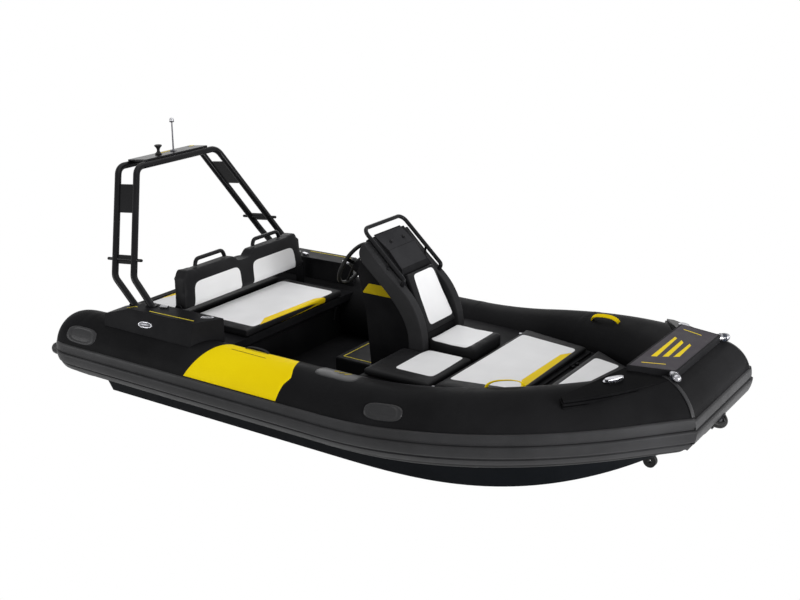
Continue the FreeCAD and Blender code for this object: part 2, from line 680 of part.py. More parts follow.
cushion("bench_cushion_front", ("-seat_back", "-seat_cushion_track", "bench_top + bond_gap"),
        ("-seat_front", "seat_cushion_track", "bench_top + seat_cushion_height"))
cushion("bench_cushion_aft", ("-aft_seat_back", "-seat_cushion_track", "bench_top + bond_gap"),
        ("-aft_seat_front", "seat_cushion_track", "bench_top + seat_cushion_height"))

# Backrest: one padded board with a notch between its two halves, on a pivot at each end.
lean = FreeCAD.Rotation(Vector(0, 1, 0), -c.back_lean_angle)
back_pivot = Vector(-c.back_hinge_aft, 0, c.back_hinge_level)


def backrest_shell():
    """The padded board, upright about its pivot, with blind holes for the two pins."""
    half, low, high = c.back_track, -c.back_below, c.back_above
    shoulder = half - c.back_shoulder
    edge = [(half, low), (half - c.back_shoulder / 3, high - c.back_shoulder), (shoulder, high),
            (c.notch_width, high), (c.notch_width / 2, high - c.notch_depth)]
    outline = edge + [(-y, z) for y, z in reversed(edge)]
    outline.append(outline[0])
    front = c.back_depth / 2
    face = Part.Face(Part.makePolygon([Vector(-front, y, z) for y, z in outline]))
    board = face.extrude(Vector(c.back_depth, 0, 0))
    bore = c.pivot_radius + c.pivot_gap
    for side in (-1, 1):
        start = Vector(0, side * (half - c.pivot_depth - c.bracket_gap), 0)
        board = board.cut(Part.makeCylinder(bore, 2 * c.pivot_depth, start, Vector(0, side, 0)))
    return board


def back_handles():
    """Two tube handles that stand on the backrest's top."""
    bars = []
    for side in (-1, 1):
        middle, half = side * c.grip_track, c.grip_length / 2
        foot = c.back_above
        points = [Vector(0, middle - half, foot), Vector(0, middle - half, foot + c.grip_height),
                  Vector(0, middle + half, foot + c.grip_height), Vector(0, middle + half, foot)]
        bars.append(pipe(rounded_path(points, [2 * c.grip_radius] * 2), c.grip_radius))
    return Part.makeCompound(bars)


for label, shape in (("backrest", backrest_shell()), ("backrest_handles", back_handles())):
    shape.Placement = FreeCAD.Placement(back_pivot, lean)
    feature(label, shape)


def backrest_bracket():
    """The port bracket: a plate that stands on the bench, with the pivot pin through its head."""
    inner = c.back_track + c.bracket_gap
    foot, head = c.bench_top, c.back_hinge_level
    plate = Part.makeBox(c.bracket_width, c.bracket_thick, head - foot,
                         Vector(-c.back_hinge_aft - c.bracket_width / 2, inner, foot))
    plate = plate.fuse(Part.makeCylinder(c.bracket_width / 2, c.bracket_thick,
                                         Vector(-c.back_hinge_aft, inner, head), Vector(0, 1, 0)))
    start = Vector(-c.back_hinge_aft, c.back_track - c.pivot_depth, head)
    pin = Part.makeCylinder(c.pivot_radius, c.pivot_depth + c.bracket_gap + c.bracket_thick, start,
                            Vector(0, 1, 0))
    return plate.fuse(pin)


feature("backrest_brackets", Part.makeCompound([backrest_bracket(), mirrored(backrest_bracket())]))

# Quarter boxes: a moulded pod each side, between the bench and the outside of the collar, seated on it.


def quarter_box():
    """The port pod: its plan has a raked fore end, its top steps down aft, and it is cut to the collar."""
    plan = [(-c.box_front, c.box_outer), (-c.box_nose, c.bench_track),
            (-c.box_aft, c.bench_track), (-c.box_aft, c.box_outer)]
    pod = prism([Vector(x, y, c.box_bottom) for x, y in plan], Vector(0, 0, c.box_top))
    side = [(-c.box_nose, c.box_bottom), (-c.box_nose, c.box_top),
            (-c.box_step, c.box_top - c.foot_flange_thick), (-c.box_aft, c.box_low_top),
            (-c.box_aft, c.box_bottom)]
    pod = pod.common(prism([Vector(x, 0, z) for x, z in side], Vector(0, 2 * c.box_outer, 0)))
    end = [(c.bench_track, c.box_bottom), (c.box_outer, c.box_bottom),
           (c.box_outer, c.tube_height + c.tube_radius / 2), (c.box_outer - c.box_draft, c.box_top),
           (c.bench_track, c.box_top)]
    pod = pod.common(prism([Vector(0, y, z) for y, z in end], Vector(-2 * c.box_aft, 0, 0)))
    return max(pod.cut(collar_seat_port).Solids, key=lambda solid: solid.CenterOfMass.z)


starboard_box = mirrored(quarter_box())
feature("quarter_box_port", quarter_box())
feature("quarter_box_starboard", starboard_box)

# Roll bar: two bent hoops side by side, joined by plates on each leg and one on top.


def hoop(back, drop):
    """A hoop: foot, lower bend, upper corner, across and down again."""
    low = Vector(-c.arch_low_aft - back, c.arch_low_track, c.arch_low_level - drop)
    foot = Vector(-c.arch_foot_aft - back, c.arch_foot_track, c.box_top)
    side = [foot + unit(foot - low) * (4 * c.arch_tube_radius), low,
            Vector(-c.arch_top_aft - back, c.arch_top_track, c.arch_top_level - drop)]
    points = side + [starboard(p) for p in reversed(side)]
    return pipe(rounded_path(points, [c.arch_bend_radius] * 4), c.arch_tube_radius)


def foot_flange(back, drop, pod):
    """The port flange: a disc where a leg meets the top of its pod."""
    foot = Vector(-c.arch_foot_aft - back, c.arch_foot_track, c.box_top)
    low = Vector(-c.arch_low_aft - back, c.arch_low_track, c.arch_low_level - drop)
    inside = Part.makeLine(low, foot + (foot - low)).common(pod)
    meet = max((v.Point for v in inside.Vertexes), key=lambda place: place.z)
    base = meet - Vector(0, 0, c.foot_flange_radius)
    disc = Part.makeCylinder(c.foot_flange_radius, c.foot_flange_radius + c.foot_flange_thick, base)
    return disc.cut(pod)


port_box = quarter_box()
hoop_places = {"arch_front_hoop": (0, 0), "arch_rear_hoop": (c.arch_gap, c.arch_drop_height)}
leg_low = Vector(-c.arch_low_aft, c.arch_low_track, c.arch_low_level)
leg_high = Vector(-c.arch_top_aft, c.arch_top_track, c.arch_top_level)
to_rear = Vector(-c.arch_gap, 0, -c.arch_drop_height)
cleat_share = 0.16


def cleat_bar():
    """The port rope cleat: a bar through both legs low down, its two horns standing out."""
    along = unit(to_rear)
    start = leg_low + (leg_high - leg_low) * cleat_share - along * (c.arch_tube_radius + c.cleat_horn_length)
    length = c.arch_gap + 2 * (c.arch_tube_radius + c.cleat_horn_length)
    bar = Part.makeCylinder(c.cleat_radius, length, start, along)
    for end in (start, start + along * length):
        bar = bar.fuse(Part.makeSphere(c.cleat_radius, end))
    return bar


cleat = cleat_bar()
for label, (back, drop) in hoop_places.items():
    bent = hoop(back, drop)
    for pod, flange in ((port_box, foot_flange(back, drop, port_box)),
                        (starboard_box, mirrored(foot_flange(back, drop, port_box)))):
        bent = bent.cut(pod)
        bent = max(bent.Solids, key=lambda solid: solid.Volume).fuse(flange)
    bent = bent.cut(cleat).cut(mirrored(cleat))
    feature(label, max(bent.Solids, key=lambda solid: solid.Volume))

# Plates between the hoops: a long filler high on each leg and a short tie low down.
plate_shares = [(0.12, 0.20), (0.58, 0.84)]


def leg_plate(low_share, high_share):
    """A plate between the port legs, between two shares of the leg's straight part."""
    across = unit(to_rear)
    skew = unit(leg_high - leg_low)
    inset = across * ((c.arch_tube_radius + c.bond_gap) / math.sin(across.getAngle(skew)))
    a, b = (leg_low + (leg_high - leg_low) * share for share in (low_share, high_share))
    thick = unit(skew.cross(across)) * c.leg_plate_thick
    plate = prism([a + inset, b + inset, b + to_rear - inset, a + to_rear - inset], thick)
    plate.translate(thick * -0.5)
    return plate


tie, filler = (leg_plate(*shares) for shares in plate_shares)
tie = tie.fuse(cleat)
feature("arch_leg_plates", Part.makeCompound([tie, filler, mirrored(tie), mirrored(filler)]))

top_plate = Part.makeBox(c.arch_gap, 2 * (c.arch_top_track - c.arch_bend_radius), c.top_plate_thick,
                         Vector(-c.arch_gap, -(c.arch_top_track - c.arch_bend_radius), 0))
top_tilt = math.degrees(math.atan2(c.arch_drop_height, c.arch_gap))
top_plate.Placement = FreeCAD.Placement(
    Vector(-c.arch_top_aft, 0, c.arch_top_level + c.arch_tube_radius + c.bond_gap),
    FreeCAD.Rotation(Vector(0, 1, 0), -top_tilt))
feature("arch_top_plate", top_plate)
plate_middle = Vector(-c.arch_top_aft - c.arch_gap / 2, 0,
                      c.arch_top_level + c.arch_tube_radius + c.top_plate_thick - c.arch_drop_height / 2)

mast_foot = plate_middle + Vector(0, c.horn_height, 0)
mast = Part.makeCylinder(c.mast_radius, c.mast_height, mast_foot, Vector(0, 0, 1))
mast = mast.fuse(Part.makeCylinder(3 * c.mast_radius, 2 * c.mast_radius, mast_foot, Vector(0, 0, 1)))
mast = mast.fuse(Part.makeSphere(c.lamp_radius, mast_foot + Vector(0, 0, c.mast_height)))
feature("light_mast", mast.cut(top_plate))
horn_foot = plate_middle - Vector(0, 2 * c.horn_height, 0)
horn = Part.makeCone(c.horn_radius, c.horn_radius / 2, c.horn_height / 2, horn_foot, Vector(0, 0, 1))
horn = horn.fuse(Part.makeCone(c.horn_radius / 2, c.horn_radius, c.horn_height / 2,
                               horn_foot + Vector(0, 0, c.horn_height / 2), Vector(0, 0, 1)))
feature("horn", horn.cut(top_plate))

# Console: a body on a plinth, between two thick curved wings, with a sloping dash and a cushioned front.
plinth = profile_body("console_plinth", "XZ_Plane", [
    ("-plinth_aft", "floor_top"), ("foredeck_aft_length - bond_gap", "floor_top"),
    ("foredeck_aft_length - bond_gap", "plinth_top"), ("-plinth_aft", "plinth_top")], "2 * plinth_half_width")
plinth.setExpression("Placement.Base.y", cell("console_shift"))
keep(plinth, "console_plinth")

# The console's outline, seen from the side, as places ahead of amidships and above the plinth.
deck_share = (c.foredeck_top - c.plinth_top) / c.console_height
face_share = (c.foredeck_aft_length - c.bond_gap) / c.console_length
core_shares = [(-0.60, 0.0), (face_share, 0.0), (face_share, deck_share), (0.712, deck_share), (0.712, 0.28),
               (0.11, 0.735), (-0.575, 0.98), (-0.70, 0.955), (-0.93, 0.71), (-0.73, 0.43)]
wing_front_shares = [(-0.19, 0.81), (0.12, 0.713), (0.42, 0.62), (0.67, 0.486), (0.785, 0.36),
                     (0.80, deck_share)]
wing_aft_shares = [(0.45, deck_share), (0.30, 0.46), (-0.05, 0.612), (-0.50, 0.754), (-0.73, 0.85),
                   (-0.62, 0.955)]


def console_place(share):
    """A share of the console's outline as a place in the plane of its centre line."""
    along, up = share
    return Vector(along * c.console_length, c.console_shift, c.plinth_top + up * c.console_height)


def spline_through(points):
    """A smooth curve through the points."""
    curve = Part.BSplineCurve()
    curve.interpolate(points)
    return curve.toShape()


core = Part.Face(Part.makePolygon([console_place(s) for s in core_shares + core_shares[:1]]))
core.translate(Vector(0, -c.core_half_width, 0))
core = core.extrude(Vector(0, 2 * c.core_half_width, 0))
dash_shares = [(0.11, 0.735), (0.091, 0.769), (-0.221, 0.893), (-0.60, 0.99), (-0.575, 0.98)]
across_dash = Vector(0, c.dash_half_width, 0)
dash = prism([console_place(s) - across_dash for s in dash_shares], across_dash * 2)
core = core.fuse(dash).removeSplitter()
feature("console_body", core)


def console_wing(side):
    """One wing: a curved band, thick across the boat."""
    front = [console_place(s) for s in wing_front_shares]
    aft = [console_place(s) for s in wing_aft_shares]
    wire = Part.Wire([spline_through(front), Part.makeLine(front[-1], aft[0]), spline_through(aft),
                      Part.makeLine(aft[-1], front[0])])
    start = c.core_half_width + c.wing_gap
    face = Part.Face(wire)
    face.translate(Vector(0, side * start, 0))
    return face.extrude(Vector(0, side * c.wing_thick, 0))


# Cushion on the console's sloping front, narrower at its top.
rest_share = 0.915
rest_head, rest_foot = console_place(core_shares[5]), console_place(core_shares[4])
rest_run = (rest_foot - rest_head) * rest_share
rest_out = unit(Vector(-rest_run.z, 0, rest_run.x))
rest_low = rest_head + rest_run
head_side, foot_side = Vector(0, c.rest_top_half_width, 0), Vector(0, c.rest_foot_half_width, 0)
front_rest = prism([rest_head - head_side, rest_low - foot_side, rest_low + foot_side, rest_head + head_side],
                   rest_out * c.rest_thick)
front_rest.translate(rest_out * c.bond_gap)
feature("console_front_cushion", front_rest)

feature("console_wing_port", console_wing(1))
feature("console_wing_starboard", console_wing(-1))

# Handrail over the dash, its feet on the wings.
rail_shares = [(0.20, 0.655), (0.30, 0.72), (-0.70, 1.045)]
strut_shares = (-0.10, 0.85)


def console_handrail():
    """One bent tube: up from a wing, along the dash, across and down the other side."""
    port = [console_place(s) + Vector(0, c.rail_track, 0) for s in rail_shares]
    other = [console_place(s) - Vector(0, c.rail_track, 0) for s in reversed(rail_shares)]
    bends = [c.rail_bend_radius / 2, c.rail_bend_radius, c.rail_bend_radius, c.rail_bend_radius / 2]
    return pipe(rounded_path(port + other, bends), c.rail_radius)


rail = console_handrail()
for side in (-1, 1):
    strut_head = console_place(strut_shares) + Vector(0, side * c.rail_track, 0)
    strut = Part.makeCylinder(c.rail_radius / 2, 4 * c.rail_bend_radius, strut_head, Vector(0, 0, -1))
    rail = rail.fuse(strut)
for side in (-1, 1):
    rail = rail.cut(console_wing(side))
feature("console_handrail", max(rail.Solids, key=lambda solid: solid.Volume))

# Steering: a boss on the console's after face, and the wheel on it.
wheel_shares = (-1.4242, 0.6882)
tilt = math.radians(c.wheel_tilt_angle)
column = Vector(-math.cos(tilt), 0, math.sin(tilt))
wheel_middle = console_place(wheel_shares)
turn_to_column = FreeCAD.Rotation(Vector(0, 0, 1), column)
boss_end = wheel_middle - column * (c.hub_length / 2 + c.shaft_gap)
boss = Part.makeCylinder(c.boss_radius, c.console_length, boss_end, column * -1).cut(core)
boss = min(boss.Solids, key=lambda solid: (solid.CenterOfMass - boss_end).Length)
feature("helm_boss", boss)


def steering_wheel():
    """Rim, three spokes and hub, about the column, one spoke pointing down."""
    rim = Part.makeTorus(c.wheel_radius, c.wheel_rim_radius)
    hub = Part.makeCylinder(c.hub_radius, c.hub_length, Vector(0, 0, -c.hub_length / 2))
    wheel = rim.fuse(hub)
    width, thick = c.hub_radius / 2 + c.wheel_rim_radius / 2, c.wheel_rim_radius / 2
    for spoke in range(3):
        bar = Part.makeBox(c.wheel_radius - c.hub_radius / 2, width, thick,
                           Vector(c.hub_radius / 2, -width / 2, -thick / 2))
        bar.rotate(Vector(0, 0, 0), Vector(0, 0, 1), 180 + 120 * spoke)
        wheel = wheel.fuse(bar)
    return wheel


wheel = steering_wheel()
wheel.Placement = FreeCAD.Placement(wheel_middle, turn_to_column)
feature("steering_wheel", wheel)

# Foredeck: moulded deck between the collar's sides, with a locker under the middle cushion.


def foredeck_block():
    """The deck with its sides under the collar's crown, before it is cut to the collar and hull."""
    count = 6
    length = foredeck_end - c.foredeck_aft_length
    xs = [c.foredeck_aft_length + length * i / count for i in range(count + 1)]
    side = [Vector(x, collar_middle(x).y, c.floor_top) for x in xs]
    return prism(side + [starboard(p) for p in reversed(side)], Vector(0, 0, c.foredeck_height))


def seated(shape):
    """The largest piece of a shape that is left after it is cut to the collar."""
    for seat in collar_seat:
        shape = shape.cut(seat)
    return max(shape.Solids, key=lambda solid: solid.Volume)


pocket = Part.makeBox(c.locker_fore - c.locker_aft, 2 * c.locker_half_width, c.foredeck_top,
                      Vector(c.locker_aft, -c.locker_half_width, c.locker_floor))
foredeck = seated(seated(foredeck_block()).cut(hull)).cut(pocket)

# Hinges of the locker's lid: a knuckle of the lid between two of the deck's, on one pin, along its fore edge.
hinge_line = Vector(c.lid_fore, 0, c.lid_top)


def knuckle(middle, length, hollow):
    """A piece of hinge barrel across the boat, bored for the pin or with the pin in it."""
    start = hinge_line + Vector(0, middle - length / 2, 0)
    across = Vector(0, 1, 0)
    barrel = Part.makeCylinder(c.hinge_radius, length, start, across)
    if hollow:
        return barrel.cut(Part.makeCylinder(c.hinge_pin_radius + c.pivot_gap, length, start, across))
    return barrel


def across_slot(middle, length, aft, fore):
    """A block across the lid's thickness at the hinge line, from aft of it to ahead of it."""
    corner = hinge_line + Vector(-aft, middle - length / 2, -c.lid_thick)
    return Part.makeBox(aft + fore, length, c.lid_thick, corner)


hinge_gap = 2 * c.shaft_gap
lid_knuckles, lid_slots = [], []
for middle in (-c.hinge_track, c.hinge_track):
    lid_knuckles.append(knuckle(middle, c.hinge_knuckle_length, True))
    pin_length = 3 * c.hinge_knuckle_length - 2 * hinge_gap
    pin = Part.makeCylinder(c.hinge_pin_radius, pin_length,
                            hinge_line + Vector(0, middle - pin_length / 2, 0), Vector(0, 1, 0))
    for side in (-1, 1):
        fixed = middle + side * c.hinge_knuckle_length
        length = c.hinge_knuckle_length - 2 * hinge_gap
        leaf = across_slot(fixed, length, 0, 3 * c.hinge_radius)
        foredeck = foredeck.fuse([knuckle(fixed, length, False), leaf])
        lid_slots.append(across_slot(fixed, c.hinge_knuckle_length, c.hinge_radius + c.hinge_pin_radius, 0))
    foredeck = foredeck.fuse(pin)
feature("foredeck", foredeck)

# Foredeck cushions: a seat against the console, one beside it, one on the locker lid and one at the bow.


def deck_pad(corners, low, high):
    """A pad with the given plan, between two heights."""
    return prism([Vector(x, y, low) for x, y in corners], Vector(0, 0, high - low))


pad_low = c.foredeck_top + c.bond_gap
pad_high = c.foredeck_top + c.cushion_height
seat_pad_aft = console_place(core_shares[3]).x + c.cushion_gap
seat_pad_fore = c.lid_aft - c.cushion_gap
seat_pad_port = c.console_shift + c.core_half_width
seat_pad_starboard = c.console_shift - c.core_half_width
feature("bow_cushion_seat", deck_pad(
    [(seat_pad_aft, seat_pad_starboard), (seat_pad_fore, seat_pad_starboard),
     (seat_pad_fore, seat_pad_port), (seat_pad_aft, seat_pad_port)], pad_low, pad_high + c.seat_pad_rise))
side_pad_inner = seat_pad_starboard - c.cushion_gap
side_pad_aft = c.foredeck_aft_length + c.cushion_gap
wing_clear = seat_pad_starboard - c.wing_gap - c.wing_thick - c.cushion_gap
wing_fore = console_place(wing_front_shares[-1]).x + c.cushion_gap
feature("bow_cushion_side", seated(deck_pad(
    [(wing_fore, side_pad_inner), (seat_pad_fore, side_pad_inner), (seat_pad_fore, -c.pad_track),
     (side_pad_aft, -c.pad_track), (side_pad_aft, wing_clear), (wing_fore, wing_clear)], pad_low, pad_high)))

# Locker lid with its cushion. The cushion stays clear of the hinge, so that it can swing up.
lid_aft_half = c.pad_track - c.cushion_gap
lid_fore_half = collar_middle(c.lid_fore).y - c.tube_radius - c.lid_side_gap


def lid_outline(inset, fore_inset):
    """The lid's plan, drawn in at its sides and after edge, and at its fore edge."""
    return [(c.lid_aft + inset, -lid_aft_half + inset), (c.lid_fore - fore_inset, -lid_fore_half + inset),
            (c.lid_fore - fore_inset, lid_fore_half - inset), (c.lid_aft + inset, lid_aft_half - inset)]


lid = deck_pad(lid_outline(0, 0), pad_low, c.lid_top)
for barrel, middle in zip(lid_knuckles, (-c.hinge_track, c.hinge_track)):
    room = Part.makeCylinder(c.hinge_pin_radius + c.pivot_gap, c.hinge_knuckle_length,
                             hinge_line + Vector(0, middle - c.hinge_knuckle_length / 2, 0), Vector(0, 1, 0))
    lid = lid.cut(room).fuse(barrel)
for slot in lid_slots:
    lid = lid.cut(slot)
feature("bow_locker_lid", lid)
feature("bow_cushion_centre", seated(deck_pad(
    lid_outline(c.cushion_gap, 2 * c.hinge_radius), c.lid_top, pad_high)))
forward_pad_aft = c.lid_fore + c.cushion_height
forward_pad_fore = forward_pad_aft + c.forward_pad_length
nose_share = 0.6
feature("bow_cushion_forward", seated(deck_pad(
    [(forward_pad_aft, -lid_fore_half), (forward_pad_fore, -lid_fore_half * nose_share),
     (forward_pad_fore, lid_fore_half * nose_share), (forward_pad_aft, lid_fore_half)], pad_low, pad_high)))

# Bow step: a tapered moulding seated over the bow chamber, with a non-slip pad let into its rim.


def step_plan(inset):
    """The step's plan, drawn in by inset all round."""
    aft_half, fore_half = c.step_aft_half_width - inset, c.step_fore_half_width - inset
    return [(step_aft + inset, -aft_half), (step_fore - inset, -fore_half),
            (step_fore - inset, fore_half), (step_aft + inset, aft_half)]


step = seated(deck_pad(step_plan(0), pad_high, step_top))
sunk = step_top - c.step_pad_thick
step = step.cut(deck_pad(step_plan(c.step_rim), sunk, step_top + c.step_rim))
feature("bow_step", step)
feature("bow_step_pad", deck_pad(step_plan(c.step_rim + c.bond_gap), sunk, step_top))

# Bow fairings: a wedge each side of the step, seated on the shoulder of the collar. Its corners are given in
# collar radii from the port mitre: two beside the step, then two at its after tip.
fairing_corner_shares = [(-0.957, 0.208, 1.052), (0.169, 0.229, 0.987),
                         (-1.723, 2.013, 0.619), (-1.874, 1.861, 0.619)]
fairing_bulge_share = 0.09
rib_depth_shares = [(0.12, 0.24), (0.32, 0.44)]
step_aft_corner, step_fore_corner, tip_outer, tip_inner = (
    mitre + Vector(*share) * c.tube_radius for share in fairing_corner_shares)
fairing_out = unit((tip_outer - step_fore_corner).cross(step_aft_corner - step_fore_corner))
fairing_out = fairing_out * (1 if fairing_out.z > 0 else -1)


def onto_fairing(place):
    """The place moved square onto the fairing's top plane."""
    return place - fairing_out * (place - step_fore_corner).dot(fairing_out)


def bow_fairing():
    """The port fairing: its top outline let down square to it, with two ribs, cut to the collar and step."""
    corners = [onto_fairing(p) for p in (step_aft_corner, step_fore_corner, tip_outer, tip_inner)]
    outer = unit(fairing_out.cross(tip_outer - step_fore_corner))
    middle = (corners[1] + corners[2]) * 0.5
    outer = outer * (1 if outer.y > 0 else -1)
    bulge = Part.Arc(corners[1], middle + outer * (c.tube_radius * fairing_bulge_share), corners[2]).toShape()
    sides = [Part.makeLine(corners[0], corners[1]), bulge, Part.makeLine(corners[2], corners[3]),
             Part.makeLine(corners[3], corners[0])]
    top = Part.Face(Part.Wire(sides))
    block = top.extrude(fairing_out * -c.wedge_depth)
    wide = top.makeOffset2D(c.wedge_rib)
    for high, low in rib_depth_shares:
        rib = wide.extrude(fairing_out * (-c.wedge_depth * (low - high)))
        rib.translate(fairing_out * (-c.wedge_depth * high))
        block = block.fuse(rib)
    return seated(block.cut(deck_pad(step_plan(-c.bond_gap), pad_high, step_top + c.wedge_depth)))


fairing = bow_fairing()
feature("bow_wedges", Part.makeCompound([fairing, mirrored(fairing)]))

# Bow fittings: an oval cleat on each fairing, a side light at each fore corner of the step, and a lifting
# ring on its patch in the middle of the bow chamber.
cleat_corner_shares = (-1.0, 0.792, 0.857)


def bow_cleat():
    """The port cleat: an oval plate on the fairing with a raised bar on it."""
    middle = onto_fairing(mitre + Vector(*cleat_corner_shares) * c.tube_radius)
    long_way = unit(tip_outer - step_fore_corner)
    turn = FreeCAD.Rotation(long_way, fairing_out.cross(long_way), fairing_out, "ZXY")
    oval = Part.Ellipse(Vector(0, 0, 0), c.cleat_plate_length / 2, c.cleat_plate_width / 2)
    plate = Part.Face(Part.Wire(oval.toShape())).extrude(Vector(0, 0, c.cleat_plate_thick))
    half = c.cleat_plate_length / 4
    plate = plate.fuse(Part.makeCylinder(c.cleat_plate_thick, 2 * half, Vector(-half, 0, c.cleat_plate_thick),
                                         Vector(1, 0, 0)))
    plate = plate.common(Part.makeBox(4 * half, 4 * half, 4 * half, Vector(-2 * half, -2 * half, 0)))
    plate.Placement = FreeCAD.Placement(middle, turn)
    return plate


def bow_light():
    """The port light: a short round body with a domed end, set into the step's fore corner."""
    across = unit(Vector(1, 1, 0))
    corner = Vector(step_fore - c.bow_light_radius, c.step_fore_half_width, step_top - c.bow_light_radius)
    body = Part.makeCylinder(c.bow_light_radius, c.bow_light_length, corner, across)
    body = body.fuse(Part.makeSphere(c.bow_light_radius, corner + across * c.bow_light_length))
    grown = deck_pad(step_plan(-c.bond_gap), pad_high, step_top + c.bond_gap)
    return seated(body.cut(grown).cut(fairing))


def lifting_ring():
    """A round patch on the bow chamber with a ring that stands out of it."""
    drop = math.radians(c.ring_drop_angle)
    out = Vector(math.cos(drop), 0, -math.sin(drop))
    middle = Vector(mitre.x, 0, mitre.z)
    reach = c.tube_radius + c.ring_patch_height
    patch = Part.makeCylinder(c.ring_patch_radius, reach, middle, out)
    ring = Part.makeTorus(c.ring_radius, c.ring_rod_radius, middle + out * reach, Vector(0, 1, 0))
    reach = c.tube_radius + c.strake_thick + c.bond_gap
    return patch.fuse(ring).cut(bow_chamber(reach))


cleat_oval, light = bow_cleat(), bow_light()
feature("bow_fittings", Part.makeCompound(
    [cleat_oval, mirrored(cleat_oval), light, mirrored(light), lifting_ring()]))

# Yellow grab handles arched over the collar's crown near the bow.
handle_lean_angle = 25


def grab_handle():
    """The port handle: a strap bent in an arch along the collar."""
    x = mitre.x - c.handle_setback
    half = c.handle_length / 2
    lean_in = math.radians(handle_lean_angle)
    up = Vector(0, -math.sin(lean_in), math.cos(lean_in))
    feet = [collar_middle(place) + up * c.tube_radius for place in (x - half, x, x + half)]
    feet[1] = feet[1] + up * c.handle_rise
    arc = Part.Wire([Part.Arc(*feet).toShape()])
    return seated(pipe(arc, c.handle_radius))


handle = grab_handle()
feature("grab_handles", Part.makeCompound([handle, mirrored(handle)]))

# Tow eye: a thick lug on the stem with a hole for a shackle or winch hook. It stands where the keel's rise
# reaches the eye's height.
keel_share = ((c.eye_height + c.keel_depth) / (c.stem_height + c.keel_depth)) ** (1 / keel_power)
eye_reach = c.keel_start_length + (stem_reach - c.keel_start_length) * keel_share + c.eye_standoff


def tow_eye():
    """The lug: an upright disc that stands out of the stem, cut to the hull."""
    middle = Vector(eye_reach, -c.eye_thick, c.eye_height)
    across = Vector(0, 1, 0)
    disc = Part.makeCylinder(c.eye_outer_radius, c.eye_thick, middle + across * (c.eye_thick / 2), across)
    hole = Part.makeCylinder(c.eye_radius, 2 * c.eye_thick, middle, across)
    return seated(disc.cut(hole).cut(hull))


feature("tow_eye", tow_eye())

doc.recompute()
faults = [o.Name for o in doc.Objects if "Invalid" in o.State or "Error" in o.State]
for obj in nodes:
    if obj.Shape.isNull() or not obj.Shape.isValid() or not obj.Shape.Solids:
        faults.append(obj.Label)
if faults:
    raise RuntimeError("not built: " + ", ".join(faults))
for obj in nodes:
    obj.Shape.exportStep(os.path.join("parts", obj.Label + ".step"))
    print(obj.Label, len(obj.Shape.Solids), round(obj.Shape.Volume / 1e6, 2))
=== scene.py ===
import math

import bmesh
import bpy
import numpy as np
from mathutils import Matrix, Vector
from mathutils.bvhtree import BVHTree


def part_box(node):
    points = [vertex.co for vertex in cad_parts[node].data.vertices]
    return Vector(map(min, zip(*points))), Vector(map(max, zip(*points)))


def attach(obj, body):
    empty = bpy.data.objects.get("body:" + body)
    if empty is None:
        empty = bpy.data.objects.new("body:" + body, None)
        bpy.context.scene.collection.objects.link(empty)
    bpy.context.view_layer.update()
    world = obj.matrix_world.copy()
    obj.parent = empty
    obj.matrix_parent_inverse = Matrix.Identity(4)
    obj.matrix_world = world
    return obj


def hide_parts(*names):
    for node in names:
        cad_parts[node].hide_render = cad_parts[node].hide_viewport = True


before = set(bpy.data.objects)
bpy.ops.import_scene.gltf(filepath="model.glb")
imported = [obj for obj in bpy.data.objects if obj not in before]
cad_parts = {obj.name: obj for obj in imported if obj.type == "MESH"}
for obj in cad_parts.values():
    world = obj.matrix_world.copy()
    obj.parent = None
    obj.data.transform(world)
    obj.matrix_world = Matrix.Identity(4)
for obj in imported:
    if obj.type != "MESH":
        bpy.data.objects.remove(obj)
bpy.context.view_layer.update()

# The photographer's stand and the still water.
# The camera looks down on the starboard bow; the plain pale floor is the water that the boat floats in,
# so the hull goes through it. A broad lamp overhead and soft ones low down at the sides light the boat plainly.
CAMERA_PLACE = Vector((4.224, -6.4, 3.418))
CAMERA_AHEAD = Vector((-0.5241, 0.792, -0.3132))
CAMERA_LENS, CAMERA_SENSOR = 54.03, 36.0
LAMPS_AIM = Vector((0, 0, 0.4))
WATER_REACH, SKY_STRENGTH = 14, 0.36


def node(tree, kind, inputs=None, **settings):
    """A shader node of this kind; an input is given another node's socket or a plain value."""
    made = tree.nodes.new(kind if kind.startswith("NodeGroup") else f"ShaderNode{kind}")
    for key, value in settings.items():
        setattr(made, key, value)
    for key, value in (inputs or {}).items():
        if isinstance(value, bpy.types.NodeSocket):
            tree.links.new(value, made.inputs[key])
        else:
            made.inputs[key].default_value = value
    return made


def worked_out(tree, operation, *values):
    """The result of a calculation with these sockets or numbers."""
    return node(tree, "Math", dict(enumerate(values)), operation=operation).outputs[0]


def finish_named(name):
    """An empty material with its Principled shader and its output already joined."""
    made = bpy.data.materials.new(name)
    made.use_nodes = True
    tree = made.node_tree
    tree.nodes.clear()
    shader = node(tree, "BsdfPrincipled")
    node(tree, "OutputMaterial", {"Surface": shader.outputs[0]})
    return made, tree, shader


def linked(name, data):
    """A new object in the scene."""
    made = bpy.data.objects.new(name, data)
    bpy.context.scene.collection.objects.link(made)
    return made


